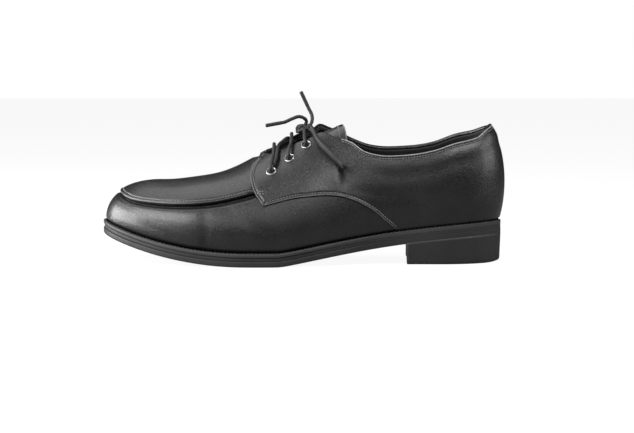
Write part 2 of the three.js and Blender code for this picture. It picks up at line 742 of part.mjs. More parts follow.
// A hard tip on an end of the lace, straight on from its last point
function agletGeometry(route) {
  const [before, end] = toVectors(route.slice(-2));
  const along = end.clone().sub(before).normalize();
  const start = end.clone().addScaledVector(along, LAP_GAP);
  const tip = new THREE.CylinderGeometry(AGLET_WIDTH / 2, AGLET_WIDTH / 2, AGLET_LENGTH, 8);
  tip.applyQuaternion(new THREE.Quaternion().setFromUnitVectors(new THREE.Vector3(0, 1, 0), along));
  const middle = start.addScaledVector(along, AGLET_LENGTH / 2);
  return tip.translate(middle.x, middle.y, middle.z);
}

// Materials
const LEATHER = { color: 0x1c1c1d, roughness: 0.42, metalness: 0 };
const SOLE_RUBBER = { color: 0x1a1a1b, roughness: 0.62, metalness: 0 };
const INSOLE_LEATHER = { color: 0x2a2827, roughness: 0.75, metalness: 0 };
const LACE_COTTON = { color: 0x161616, roughness: 0.8, metalness: 0 };
const EYELET_METAL = { color: 0xc4c4c6, roughness: 0.3, metalness: 0.9 };

const shoe = new THREE.Group();
shoe.name = 'derby_shoe';
const last = new THREE.Group();
last.position.x = -HEEL_CENTRE;
shoe.add(last);

function addPiece(name, geometry, look) {
  geometry.computeVertexNormals();
  const mesh = new THREE.Mesh(geometry, new THREE.MeshStandardMaterial(look));
  mesh.name = name;
  last.add(mesh);
}

addPiece('outsole', outsoleGeometry(), SOLE_RUBBER);
addPiece('midsole', midsoleGeometry(), SOLE_RUBBER);
addPiece('welt', weltGeometry(), SOLE_RUBBER);
addPiece('heel', heelGeometry(), SOLE_RUBBER);
addPiece('insole', insoleGeometry(), INSOLE_LEATHER);
addPiece('upper', upperGeometry(), LEATHER);
addPiece('tongue', tongueGeometry(), LEATHER);
eyeletPlaces().forEach(({ name, station, share }) => {
  addPiece(name, place(eyeletGeometry(), station, share, 0), EYELET_METAL);
});

EYELETS.slice(0, -1).forEach((pair, i) => {
  addPiece(`lace_bar_${i + 1}`, barGeometry(pair), LACE_COTTON);
});
const TOP_PAIR = EYELETS.at(-1);
addPiece('lace_top_outer', topStrandGeometry(TOP_PAIR.station, TOP_PAIR.out), LACE_COTTON);
addPiece('lace_top_inner', topStrandGeometry(ROUND - TOP_PAIR.station, TOP_PAIR.in), LACE_COTTON);
addPiece('lace_knot', knotGeometry(), LACE_COTTON);
addPiece('lace_loop_outer', tube(toVectors(OUTER_LOOP), LACE_WIDTH, LOOP_STEPS), LACE_COTTON);
addPiece('lace_loop_inner', tube(toVectors(INNER_LOOP), LACE_WIDTH, LOOP_STEPS), LACE_COTTON);
addPiece('lace_end_front', tube(toVectors(FRONT_END), LACE_WIDTH, END_STEPS), LACE_COTTON);
addPiece('lace_end_up', tube(toVectors(UP_END), LACE_WIDTH, END_STEPS), LACE_COTTON);
addPiece('aglet_front', agletGeometry(FRONT_END), LACE_COTTON);
addPiece('aglet_up', agletGeometry(UP_END), LACE_COTTON);

export default shoe;
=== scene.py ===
import math

import bmesh
import bpy
import numpy as np
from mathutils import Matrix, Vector


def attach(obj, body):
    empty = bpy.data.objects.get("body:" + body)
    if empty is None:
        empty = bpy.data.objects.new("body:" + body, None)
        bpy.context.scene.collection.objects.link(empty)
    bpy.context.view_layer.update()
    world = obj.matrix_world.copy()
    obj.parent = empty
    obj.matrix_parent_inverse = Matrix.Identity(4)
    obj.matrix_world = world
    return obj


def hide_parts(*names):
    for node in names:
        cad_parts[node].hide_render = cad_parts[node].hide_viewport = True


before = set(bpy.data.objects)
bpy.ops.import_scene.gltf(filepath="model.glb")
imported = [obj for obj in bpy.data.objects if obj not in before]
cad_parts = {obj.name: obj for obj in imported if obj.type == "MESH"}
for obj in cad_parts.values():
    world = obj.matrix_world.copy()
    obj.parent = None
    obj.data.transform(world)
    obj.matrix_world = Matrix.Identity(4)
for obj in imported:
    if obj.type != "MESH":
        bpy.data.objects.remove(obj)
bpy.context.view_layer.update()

# Camera and studio. A long lens looks at the outer side of the shoe from just above the floor,
# with a soft overhead panel, a strip towards the toe and a low fill, on a white sweep.
HEEL_CENTRE = 0.262
PHOTO_SIZE = (634, 433)
PIXELS_PER_METRE = 1330.0
CAMERA_LENS = 100.0
SENSOR = 36.0
CAMERA_RISE = math.radians(5.0)
TOE_TIP_COLUMN = 103.0
FLOOR_ROW = 259.9
camera_distance = PHOTO_SIZE[0] / PIXELS_PER_METRE * CAMERA_LENS / SENSOR
aim_x = (PHOTO_SIZE[0] / 2 - TOE_TIP_COLUMN) / PIXELS_PER_METRE - HEEL_CENTRE
aim_z = (FLOOR_ROW - PHOTO_SIZE[1] / 2) / PIXELS_PER_METRE / math.cos(CAMERA_RISE)
ROOM_LIGHT = 0.05
FLOOR_BOUNCE = 0.24
FLOOR_WHITE = 0.9
FLOOR_GLOW = 1.07
FLOOR_GLOW_SHARE = 0.87
FLOOR_REACH = 6.0

scene = bpy.context.scene
scene.render.resolution_x, scene.render.resolution_y = PHOTO_SIZE
camera_data = bpy.data.cameras.new("camera")
camera_data.lens = CAMERA_LENS
camera_data.sensor_width = SENSOR
camera = bpy.data.objects.new("camera", camera_data)
camera.location = (
    aim_x,
    -camera_distance * math.cos(CAMERA_RISE),
    aim_z + camera_distance * math.sin(CAMERA_RISE),
)
camera.rotation_euler = (math.pi / 2 - CAMERA_RISE, 0, 0)
scene.collection.objects.link(camera)
scene.camera = camera
scene.view_settings.view_transform = "Standard"
scene.view_settings.look = "None"

world = bpy.data.worlds.new("studio")
world.use_nodes = True
scene.world = world
nodes, links = world.node_tree.nodes, world.node_tree.links
seen, room = nodes["Background"], nodes.new("ShaderNodeBackground")
seen.inputs["Color"].default_value = (1, 1, 1, 1)
seen.inputs["Strength"].default_value = 1.0
room.inputs["Color"].default_value = (1, 1, 1, 1)
room.inputs["Strength"].default_value = ROOM_LIGHT
path, switch = nodes.new("ShaderNodeLightPath"), nodes.new("ShaderNodeMixShader")
links.new(path.outputs["Is Camera Ray"], switch.inputs[0])
links.new(room.outputs[0], switch.inputs[1])
links.new(seen.outputs[0], switch.inputs[2])
links.new(switch.outputs[0], nodes["World Output"].inputs["Surface"])


def area_light(name, place, target, size, power):
    data = bpy.data.lights.new(name, "AREA")
    data.shape = "RECTANGLE"
    data.size, data.size_y = size
    data.energy = power
    lamp = bpy.data.objects.new(name, data)
    lamp.location = place
    direction = Vector(target) - Vector(place)
    lamp.rotation_euler = direction.to_track_quat("-Z", "Y").to_euler()
    scene.collection.objects.link(lamp)


area_light("key", (-1.00, -0.68, 0.84), (-0.19, 0, 0.04), (0.8, 0.6), 14.5)
area_light("front_top", (0.38, -0.60, 0.98), (-0.02, 0, 0.06), (0.9, 0.4), 8)
area_light("overhead", (-0.45, 0.30, 1.10), (-0.15, 0, 0.05), (0.9, 0.6), 4.0)
area_light("toe_side", (-1.25, -0.05, 0.26), (-0.22, 0, 0.03), (1.1, 0.5), 21)
area_light("heel_side", (1.05, -0.15, 0.50), (0, 0, 0.05), (0.6, 0.6), 4)

floor_mesh = bpy.data.meshes.new("floor")
form = bmesh.new()
bmesh.ops.create_grid(form, x_segments=1, y_segments=1, size=FLOOR_REACH)
form.to_mesh(floor_mesh)
form.free()
floor = bpy.data.objects.new("floor", floor_mesh)
scene.collection.objects.link(floor)
floor_paint = bpy.data.materials.new("floor")
floor_paint.use_nodes = True
nodes, links = floor_paint.node_tree.nodes, floor_paint.node_tree.links
nodes.remove(nodes["Principled BSDF"])
bounce, lit, glow = (nodes.new(f"ShaderNode{kind}") for kind in ("BsdfDiffuse", "BsdfDiffuse", "Emission"))
bounce.inputs["Color"].default_value = (FLOOR_BOUNCE, FLOOR_BOUNCE, FLOOR_BOUNCE, 1)
lit.inputs["Color"].default_value = (FLOOR_WHITE, FLOOR_WHITE, FLOOR_WHITE, 1)
glow.inputs["Color"].default_value = (1, 1, 1, 1)
glow.inputs["Strength"].default_value = FLOOR_GLOW
path, blend, switch = (nodes.new(f"ShaderNode{kind}") for kind in ("LightPath", "MixShader", "MixShader"))
blend.inputs[0].default_value = FLOOR_GLOW_SHARE
links.new(lit.outputs[0], blend.inputs[1])
links.new(glow.outputs[0], blend.inputs[2])
links.new(path.outputs["Is Camera Ray"], switch.inputs[0])
links.new(bounce.outputs[0], switch.inputs[1])
links.new(blend.outputs[0], switch.inputs[2])
links.new(switch.outputs[0], nodes["Material Output"].inputs["Surface"])
floor_mesh.materials.append(floor_paint)

# Vamp: the leather wall that runs round the toe below the apron and back under both quarters.
# It is pulled over the last, so its shape comes from the last's sections, with soft flex creases.
SHOE_LENGTH = 0.298
BALL_WIDTH = 0.0925
LAST_HEIGHT = 0.090
TOE_SPRING = 0.0213
HEEL_LIFT = 0.0222
FLAT_FROM = 0.108
FLAT_TO = 0.131
ARCH_CURVE = 1.55
ARCH_BLEND = 0.0012
SOLE_THICK = 0.010
WALL = 0.0024
COLUMNS = (
    "outX", "outY", "inX", "inY", "crestX", "crestY", "crestZ", "rise",
    "outBulge", "inBulge", "outShoulder", "inShoulder", "dome",
)
SECTIONS = np.array([
    [0.0065, 0.042, 0.0065, 0.042, 0.138, 0.022, 0.461, 0.600, 0.005, 0.005, 0.60, 0.60, 0.00],
    [0.023, -0.134, 0.019, 0.220, 0.141, 0.022, 0.463, 0.580, 0.022, 0.016, 0.60, 0.60, 0.00],
    [0.065, -0.264, 0.062, 0.351, 0.154, 0.022, 0.471, 0.560, 0.054, 0.038, 0.61, 0.61, 0.00],
    [0.134, -0.373, 0.131, 0.427, 0.188, 0.022, 0.496, 0.530, 0.097, 0.065, 0.63, 0.62, 0.00],
    [0.218, -0.459, 0.218, 0.470, 0.245, 0.022, 0.550, 0.510, 0.135, 0.086, 0.64, 0.62, 0.00],
    [0.309, -0.514, 0.309, 0.492, 0.315, 0.032, 0.622, 0.480, 0.141, 0.086, 0.58, 0.58, 0.00],
    [0.403, -0.535, 0.403, 0.465, 0.403, 0.049, 0.771, 0.420, 0.124, 0.065, 0.46, 0.52, 0.00],
    [0.497, -0.503, 0.497, 0.400, 0.497, 0.054, 0.930, 0.360, 0.108, 0.070, 0.42, 0.50, 0.00],
    [0.591, -0.422, 0.591, 0.335, 0.587, 0.043, 0.988, 0.330, 0.114, 0.092, 0.50, 0.58, 0.03],
    [0.685, -0.346, 0.685, 0.303, 0.678, 0.022, 1.012, 0.310, 0.119, 0.108, 0.78, 0.80, 0.14],
    [0.779, -0.319, 0.779, 0.297, 0.765, 0.011, 1.006, 0.310, 0.119, 0.114, 0.95, 0.95, 0.20],
    [0.872, -0.319, 0.872, 0.308, 0.846, 0.000, 1.009, 0.330, 0.108, 0.103, 1.00, 1.00, 0.20],
    [0.956, -0.222, 0.956, 0.222, 0.899, 0.000, 1.004, 0.350, 0.097, 0.097, 1.00, 1.00, 0.17],
    [0.995, 0.000, 0.995, 0.000, 0.914, 0.000, 1.000, 0.355, 0.097, 0.097, 1.10, 1.10, 0.16],
])
HALF = len(SECTIONS) - 1
ROUND = 2 * HALF
LEVEL_BELOW = 0.12


def underside(distance):
    toe = np.clip((FLAT_FROM - distance) / FLAT_FROM, 0, None)
    back = np.clip((distance - FLAT_TO) / (SHOE_LENGTH - FLAT_TO), 0, 1)
    lift = HEEL_LIFT * (1 - (1 - back) ** ARCH_CURVE)
    return TOE_SPRING * toe**2 + np.hypot(lift, ARCH_BLEND) - ARCH_BLEND


def closed_spline(out_column, in_column, unit):
    outer = SECTIONS[:, COLUMNS.index(out_column)]
    inner = SECTIONS[:, COLUMNS.index(in_column)]
    values = np.concatenate([outer, inner[-2:0:-1]]) * unit
    near = np.eye(ROUND)
    system = (4 * near + np.roll(near, 1, 0) + np.roll(near, -1, 0)) / 6
    control = np.linalg.solve(system, values)

    def evaluate(station):
        first = np.floor(station).astype(int)
        t = station - first
        weights = (
            (1 - t) ** 3 / 6,
            (3 * t**3 - 6 * t**2 + 4) / 6,
            (-3 * t**3 + 3 * t**2 + 3 * t + 1) / 6,
            t**3 / 6,
        )
        return sum(w * control[(first - 1 + k) % ROUND] for k, w in enumerate(weights))

    return evaluate


edge_x = closed_spline("outX", "inX", SHOE_LENGTH)
edge_y = closed_spline("outY", "inY", BALL_WIDTH)
crest_x = closed_spline("crestX", "crestX", SHOE_LENGTH)
crest_y = closed_spline("crestY", "crestY", BALL_WIDTH)
crest_z = closed_spline("crestZ", "crestZ", LAST_HEIGHT)
rise_share = closed_spline("rise", "rise", 1)
bulge = closed_spline("outBulge", "inBulge", BALL_WIDTH)
shoulder = closed_spline("outShoulder", "inShoulder", 1)
dome = closed_spline("dome", "dome", 1)


def plan_outward(station):
    step = 0.001
    dx = edge_x(station + step) - edge_x(station - step)
    dy = edge_y(station + step) - edge_y(station - step)
    length = np.hypot(dx, dy)
    return dy / length, -dx / length


def last_point(station, share):
    """Points of the last, X measured from the toe tip; share rises from the sole's edge to the crest."""
    station, share = np.broadcast_arrays(np.asarray(station, float), np.asarray(share, float))
    out_x, out_y = plan_outward(station)
    foot = np.stack([edge_x(station), edge_y(station), np.zeros_like(share)], -1)
    foot[..., 2] = underside(foot[..., 0]) + SOLE_THICK
    crest = np.stack([crest_x(station), crest_y(station), np.zeros_like(share)], -1)
    crest[..., 2] = underside(crest[..., 0]) + SOLE_THICK + crest_z(station)
    height = crest[..., 2] - foot[..., 2]
    reach = bulge(station)
    side = foot + np.stack([out_x * reach, out_y * reach, rise_share(station) * height], -1)
    top = crest + (foot - crest) * shoulder(station)[..., None]
    top[..., 2] = crest[..., 2] - dome(station) * height
    s = share[..., None]
    return (1 - s) ** 3 * foot + 3 * (1 - s) ** 2 * s * side + 3 * (1 - s) * s**2 * top + s**3 * crest


def side_normal(station, share):
    step = 0.002
    at = np.clip(share, 0.01, 0.97)
    along = last_point(station + step, at) - last_point(station - step, at)
    up = last_point(station, at + step) - last_point(station, at - step)
    normal = np.cross(along, up)
    return normal / np.linalg.norm(normal, axis=-1, keepdims=True)


def last_normal(station, share):
    station, share = np.broadcast_arrays(np.asarray(station, float), np.asarray(share, float))
    normal = side_normal(station, share)
    other = side_normal(ROUND - station, share)
    normal = np.where((share > 0.999)[..., None], normal + other, normal)
    normal[..., 2] *= np.clip(share / LEVEL_BELOW, 0, 1)
    return normal / np.linalg.norm(normal, axis=-1, keepdims=True)


# Creases: distance from the toe tip, height, lean, half width, half length, depth, all in metres
CREASES = (
    (0.0775, 0.026, 0.08, 0.0055, 0.016, 0.00030),
    (0.0420, 0.027, -2.6, 0.0080, 0.009, 0.00035),
    (0.1805, 0.0655, 0.05, 0.0034, 0.0068, 0.0011),
    (0.1870, 0.0650, 0.10, 0.0060, 0.0080, 0.0007),
    (0.2250, 0.049, -4.5, 0.0220, 0.008, 0.00045),
    (0.1050, 0.036, -1.6, 0.0070, 0.012, 0.00040),
)
# The upper turns in under itself where it meets the welt
FOOT_TUCK = 0.0016
FOOT_TUCK_HEIGHT = 0.0013


def crease_depth(points):
    depth = np.zeros(points.shape[:-1])
    for place, height, lean, width, length, deep in CREASES:
        up = points[..., 2] - height
        across = points[..., 0] - place - lean * up
        depth += deep * np.exp(-((across / width) ** 2) - (up / length) ** 2)
    return np.where(points[..., 1] < 0, depth, 0.5 * depth)


def skin(station, share, lift):
    """Points a lift above the last, in the part's frame, with the creases pressed in."""
    points = last_point(station, share)
    above = np.maximum(points[..., 2] - underside(points[..., 0]) - SOLE_THICK, 0)
    tuck = FOOT_TUCK * np.exp(-((above / FOOT_TUCK_HEIGHT) ** 2))
    lift = np.asarray(lift) - crease_depth(points) - tuck
    points = points + last_normal(station, share) * lift[..., None]
    points[..., 0] -= HEEL_CENTRE
    return points


def finished(name, form, material):
    """The object of a modelled form, its seams and poles closed and its faces turned outwards."""
    bmesh.ops.remove_doubles(form, verts=form.verts, dist=2e-6)
    bmesh.ops.dissolve_degenerate(form, dist=1e-6, edges=form.edges)
    bmesh.ops.recalc_face_normals(form, faces=form.faces)
    mesh = bpy.data.meshes.new(name)
    form.to_mesh(mesh)
    form.free()
    mesh.polygons.foreach_set("use_smooth", [True] * len(mesh.polygons))
    mesh.materials.append(material)
    piece = bpy.data.objects.new(name, mesh)
    scene.collection.objects.link(piece)
    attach(piece, "root")
    return piece


def mesh_object(name, points, faces, material):
    mesh = bpy.data.meshes.new("points")
    mesh.from_pydata([tuple(p) for p in points], [], [tuple(int(i) for i in f) for f in faces])
    form = bmesh.new()
    form.from_mesh(mesh)
    bpy.data.meshes.remove(mesh)
    return finished(name, form, material)


def grid_faces(rows, columns, start=0, flip=False):
    faces = []
    for i in range(rows - 1):
        for j in range(columns - 1):
            a = start + i * columns + j
            quad = (a, a + columns, a + columns + 1, a + 1)
            faces.append(quad[::-1] if flip else quad)
    return faces


RIM_STEPS = 4


def panel(name, outer, inner, border, bulge_out, material):
    """A closed slab between two grids of points, with a rounded rim round its border."""
    rows, columns = outer.shape[:2]
    points = [outer.reshape(-1, 3), inner.reshape(-1, 3)]
    faces = grid_faces(rows, columns) + grid_faces(rows, columns, rows * columns, True)
    index = np.array([i * columns + j for i, j in border])
    back = np.array([
        min(max(i, 1), rows - 2) * columns + min(max(j, 1), columns - 2) for i, j in border
    ])
    top, under = points[0][index], points[1][index]
    away = points[0][index] - points[0][back]
    away /= np.linalg.norm(away, axis=1, keepdims=True) + 1e-9
    bulges = np.broadcast_to(bulge_out, len(border))
    rings = [index]
    count = 2 * rows * columns
    for k in range(1, RIM_STEPS):
        angle = math.pi * k / RIM_STEPS
        middle = (top + under) / 2 + (top - under) / 2 * math.cos(angle)
        points.append(middle + away * (bulges * math.sin(angle))[:, None])
        rings.append(np.arange(count, count + len(index)))
        count += len(index)
    rings.append(index + rows * columns)
    for upper, lower in zip(rings[:-1], rings[1:]):
        for k in range(len(index)):
            following = (k + 1) % len(index)
            faces.append((upper[k], lower[k], lower[following], upper[following]))
    return mesh_object(name, np.concatenate(points), faces, material)


def full_border(rows, columns):
    return (
        [(i, 0) for i in range(rows)]
        + [(rows - 1, j) for j in range(1, columns)]
        + [(i, columns - 1) for i in range(rows - 2, -1, -1)]
        + [(0, j) for j in range(columns - 2, 0, -1)]
    )


def node_material(name):
    material = bpy.data.materials.new(name)
    material.use_nodes = True
    tree = material.node_tree
    return material, tree.nodes, tree.links, tree.nodes["Principled BSDF"]


def noise_node(nodes, links, scale, detail=3.0, roughness=0.5):
    place = nodes.get("place") or nodes.new("ShaderNodeTexCoord")
    place.name = "place"
    noise = nodes.new("ShaderNodeTexNoise")
    noise.inputs["Scale"].default_value = scale
    noise.inputs["Detail"].default_value = detail
    noise.inputs["Roughness"].default_value = roughness
    links.new(place.outputs["Object"], noise.inputs["Vector"])
    return noise


def ramp_node(nodes, links, source, stops):
    ramp = nodes.new("ShaderNodeValToRGB")
    elements = ramp.color_ramp.elements
    while len(elements) < len(stops):
        elements.new(0.5)
    for element, (at, value) in zip(elements, stops):
        element.position = at
        colour = value if isinstance(value, tuple) else (value, value, value)
        element.color = (*colour, 1)
    links.new(source, ramp.inputs["Fac"])
    return ramp


CALF_DARK = (0.006, 0.006, 0.0062)
CALF_LIGHT = (0.011, 0.011, 0.0114)
CALF_COAT = 0.35
GRAIN_DEPTH = 0.00024
SWELL_DEPTH = 0.0006


def leather(name, dark, light, gloss, grain, coat):
    """Polished leather: cloudy dye, worn polish, and pores and fine grain over broad swells."""
    material, nodes, links, shader = node_material(name)
    tone = noise_node(nodes, links, 60, 4)
    colour = ramp_node(nodes, links, tone.outputs["Fac"], [(0.3, dark), (0.7, light)])
    links.new(colour.outputs["Color"], shader.inputs["Base Color"])
    wear = noise_node(nodes, links, 800, 5, 0.7)
    rough = ramp_node(nodes, links, wear.outputs["Fac"], [(0.35, gloss - 0.09), (0.68, gloss + 0.12)])
    links.new(rough.outputs["Color"], shader.inputs["Roughness"])
    place = nodes["place"]
    pores = nodes.new("ShaderNodeTexVoronoi")
    pores.inputs["Scale"].default_value = 1500
    links.new(place.outputs["Object"], pores.inputs["Vector"])
    fine = noise_node(nodes, links, 620, 4, 0.65)
    broad = noise_node(nodes, links, 85, 2, 0.5)
    total = nodes.new("ShaderNodeMath")
    total.operation = "MULTIPLY_ADD"
    links.new(pores.outputs["Distance"], total.inputs[0])
    total.inputs[1].default_value = 0.6
    links.new(fine.outputs["Fac"], total.inputs[2])
    fine_bump = nodes.new("ShaderNodeBump")
    fine_bump.inputs["Strength"].default_value = grain
    fine_bump.inputs["Distance"].default_value = GRAIN_DEPTH
    links.new(total.outputs[0], fine_bump.inputs["Height"])
    broad_bump = nodes.new("ShaderNodeBump")
    broad_bump.inputs["Strength"].default_value = 0.25
    broad_bump.inputs["Distance"].default_value = SWELL_DEPTH
    links.new(broad.outputs["Fac"], broad_bump.inputs["Height"])
    links.new(broad_bump.outputs["Normal"], fine_bump.inputs["Normal"])
    links.new(fine_bump.outputs["Normal"], shader.inputs["Normal"])
    shader.inputs["Coat Weight"].default_value = coat
    shader.inputs["Coat Roughness"].default_value = 0.22
    return material


calf = leather("black_calf", CALF_DARK, CALF_LIGHT, 0.33, 1.0, CALF_COAT)
# Painted shade in folds of the leather, their specular and coat turned down: middle, reach in each
# direction, gloss kept
FOLD_PAINTED_SHADE = (
    ((0.1796 - HEEL_CENTRE, -0.036, 0.0650), (0.0027, 0.02, 0.0085), 0.15),
    ((0.0775 - HEEL_CENTRE, -0.045, 0.0270), (0.0040, 0.03, 0.0160), 0.55),
)


def product_node(nodes, links, first, second):
    """The product of an output and another output or a number."""
    product = nodes.new("ShaderNodeMath")
    product.operation = "MULTIPLY"
    links.new(first, product.inputs[0])
    if isinstance(second, float):
        product.inputs[1].default_value = second
    else:
        links.new(second, product.inputs[1])
    return product.outputs[0]


def fold_painted_shade(nodes, links, middle, reach, kept):
    """Painted shade: polish that falls to the kept share in the middle of a fold."""
    away, scaled, far = (nodes.new("ShaderNodeVectorMath") for _ in range(3))
    away.operation, scaled.operation, far.operation = "SUBTRACT", "DIVIDE", "LENGTH"
    links.new(nodes["place"].outputs["Object"], away.inputs[0])
    away.inputs[1].default_value = middle
    links.new(away.outputs["Vector"], scaled.inputs[0])
    scaled.inputs[1].default_value = reach
    links.new(scaled.outputs["Vector"], far.inputs[0])
    fade = nodes.new("ShaderNodeMapRange")
    fade.interpolation_type = "SMOOTHSTEP"
    links.new(far.outputs["Value"], fade.inputs["Value"])
    fade.inputs["From Min"].default_value = 0.2
    fade.inputs["From Max"].default_value = 1.4
    fade.inputs["To Min"].default_value = kept
    return fade.outputs["Result"]


nodes, links = calf.node_tree.nodes, calf.node_tree.links
dent_painted_shade, flex_painted_shade = (fold_painted_shade(nodes, links, *fold) for fold in FOLD_PAINTED_SHADE)
fold_shade_share = product_node(nodes, links, dent_painted_shade, flex_painted_shade)
# The fold masks scale down specular and coat, painting shade into the dent and the flex crease
for socket, full in (("Specular IOR Level", 0.5), ("Coat Weight", CALF_COAT)):
    links.new(product_node(nodes, links, fold_shade_share, full), nodes["Principled BSDF"].inputs[socket])

# The apron's edge: station on the outer side, share of the way up on the outer and the inner side
APRON_EDGE = np.array([
    [0, 0.53, 0.53], [1, 0.50, 0.52], [2, 0.445, 0.50], [3, 0.452, 0.50],
    [4, 0.463, 0.51], [5, 0.488, 0.52], [6.3, 0.490, 0.52],
])
APRON_END = 5.95
APRON_SKIVED = 5.76


def through_points(at, x, y, slope):
    """A smooth curve through points whose x rises, with a slope at each of them."""
    k = np.clip(np.searchsorted(x, at) - 1, 0, len(x) - 2)
    width = x[k + 1] - x[k]
    t = (at - x[k]) / width
    return (
        (2 * t**3 - 3 * t**2 + 1) * y[k]
        + (t**3 - 2 * t**2 + t) * width * slope[k]
        + (-2 * t**3 + 3 * t**2) * y[k + 1]
        + (t**3 - t**2) * width * slope[k + 1]
    )


def apron_side(around, key):
    """One side's line of the apron's edge, level at the toe, where the two sides meet."""
    x, y = APRON_EDGE[:, 0], APRON_EDGE[:, key]
    slope = np.gradient(y, x)
    slope[0] = 0
    return through_points(around, x, y, slope)


def apron_low(station):
    """The apron edge's share at any station round the shoe, toe at 0."""
    around = np.where(station > HALF, ROUND - station, np.abs(station))
    inner = (station > HALF) | (station < 0)
    return np.where(inner, apron_side(around, 2), apron_side(around, 1))


# The wall's top: under the apron, then under the quarters at the waist and at the heel
VAMP_LAP = 0.05
WAIST_FROM = 5.6
WAIST_SHARE = 0.56
SEAT_FROM = 8.6
SEAT_SHARE = 0.30
VAMP_THICK = 0.0018
GROOVE_DEPTH = 0.0023
GROOVE_WIDTH = 0.045
GROOVE_END = 6.4
GROOVE_RUN_OUT = 0.4
wall_stations = np.linspace(0, ROUND, 521)
wall_parts = np.concatenate([np.linspace(0, 0.8, 34), np.linspace(0.82, 1.0, 20)])
around = np.where(wall_stations > HALF, ROUND - wall_stations, wall_stations)
signed = np.where(wall_stations > HALF, wall_stations - ROUND, wall_stations)
at_waist = np.clip(around - WAIST_FROM, 0, 1)
at_seat = np.clip(around - SEAT_FROM, 0, 1)
wall_limit = (apron_low(signed) + VAMP_LAP) * (1 - at_waist)
wall_limit += WAIST_SHARE * at_waist + (SEAT_SHARE - WAIST_SHARE) * at_seat
grid_station = np.repeat(wall_stations[:, None], len(wall_parts), 1)
grid_share = wall_limit[:, None] * wall_parts[None, :]
# A groove lies under the apron's edge
above_edge = (grid_share - wall_limit[:, None] + VAMP_LAP) / GROOVE_WIDTH
groove_fade = np.clip((GROOVE_END - around) / GROOVE_RUN_OUT, 0, 1)[:, None]
groove = GROOVE_DEPTH * np.exp(-((above_edge + 0.1) ** 2) * 1.3) * groove_fade
wall_outer = skin(grid_station, grid_share, -groove)
wall_inner = skin(grid_station, grid_share, -VAMP_THICK)
rows, columns = wall_outer.shape[:2]
wall_faces = grid_faces(rows, columns) + grid_faces(rows, columns, rows * columns, True)
for i in range(rows - 1):
    low = (i * columns, (i + 1) * columns)
    high = (i * columns + columns - 1, (i + 1) * columns + columns - 1)
    deep = rows * columns
    wall_faces.append((low[0] + deep, low[1] + deep, low[1], low[0]))
    wall_faces.append((high[0], high[1], high[1] + deep, high[0] + deep))
vamp = mesh_object(
    "vamp", np.concatenate([wall_outer.reshape(-1, 3), wall_inner.reshape(-1, 3)]),
    wall_faces, calf,
)
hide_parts("upper")

# Apron: the raised plate over the toes, its edge turned into a round bead and sewn down.
# It ends under the front of the quarters.
APRON_RAISE = 0.0016
BEAD_HEIGHT = 0.0006
BEAD_AT = 0.0010
BEAD_WIDTH = 0.0009
SEW_AT = 0.0024
SEW_DEPTH = 0.0007
SEW_WIDTH = 0.0006
TIP_LOWER = 0.45
TIP_STATIONS = 1.6
SKIVE_RUN = 0.12
SKIVE_SHARE = 0.8
APRON_UNDER = 0.0006
APRON_ROLL = 0.0007
apron_stations = np.linspace(0, APRON_END, 190)
apron_parts = np.linspace(0, 1, 76) ** 2.2


def apron_grid(side):
    signed = side * apron_stations
    low = apron_low(signed)
    share = low[:, None] + (1 - low[:, None]) * apron_parts[None, :]
    station = np.repeat(np.where(signed < 0, signed + ROUND, signed)[:, None], len(apron_parts), 1)
    return station, share


def from_edge(points):
    """Distance of each column's points from its first one, along the column."""
    steps = np.linalg.norm(np.diff(points, axis=1), axis=2)
    return np.concatenate([np.zeros((len(points), 1)), np.cumsum(steps, 1)], 1)


def ridge(distance, width):
    return np.exp(-((distance / width) ** 2))


def tip_lowering(stations):
    """The apron and its seam lie lower over the toe tip."""
    return 1 - TIP_LOWER * np.exp(-((stations / TIP_STATIONS) ** 2))


def apron_surface(side):
    station, share = apron_grid(side)
    inward = from_edge(last_point(station, share))
    relief = APRON_RAISE + BEAD_HEIGHT * ridge(inward - BEAD_AT, BEAD_WIDTH)
    relief -= SEW_DEPTH * ridge(inward - SEW_AT, SEW_WIDTH)
    relief *= tip_lowering(apron_stations)[:, None]
    # Its rear end is skived thin where the quarters cover it
    covered = np.clip((apron_stations - APRON_SKIVED) / SKIVE_RUN, 0, 1)[:, None]
    relief *= 1 - SKIVE_SHARE * covered
    return skin(station, share, relief), skin(station, share, -APRON_UNDER)


out_top, out_under = apron_surface(1)
in_top, in_under = apron_surface(-1)
apron_outer = np.concatenate([out_top, in_top[:, -2::-1]], 1)
apron_inner = np.concatenate([out_under, in_under[:, -2::-1]], 1)
rows, columns = apron_outer.shape[:2]
apron_border = (
    [(i, 0) for i in range(rows)]
    + [(rows - 1, j) for j in range(1, columns)]
    + [(i, columns - 1) for i in range(rows - 2, -1, -1)]
)
apron = panel("apron", apron_outer, apron_inner, apron_border, APRON_ROLL, calf)
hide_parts("upper")

# Quarters: the two rear sides, lapped over the vamp and the apron. Each carries its facing with
# three eyelets, is sewn along its front and lower edge, and is folded over at the padded collar.
QUARTER_RAISE = 0.0013
QUARTER_START = 6.05
# Front edge and lower seam of the outer side: share of the length, share of the last's height
QUARTER_FRONT = (
    (0.409, 0.490), (0.386, 0.605), (0.381, 0.655), (0.378, 0.715), (0.381, 0.755), (0.390, 0.815),
)
QUARTER_SEAM = (
    (0.409, 0.490), (0.455, 0.530), (0.522, 0.566), (0.567, 0.575), (0.609, 0.558), (0.642, 0.520),
    (0.683, 0.442), (0.717, 0.348), (0.745, 0.262),
)
# Throat edge in plan: share of the length, share of the ball width
THROAT_OUT = ((0.410, -0.040), (0.425, -0.106), (0.455, -0.124), (0.495, -0.128), (0.530, -0.128))
THROAT_IN = ((0.410, 0.060), (0.425, 0.100), (0.455, 0.108), (0.495, 0.114), (0.530, 0.126))
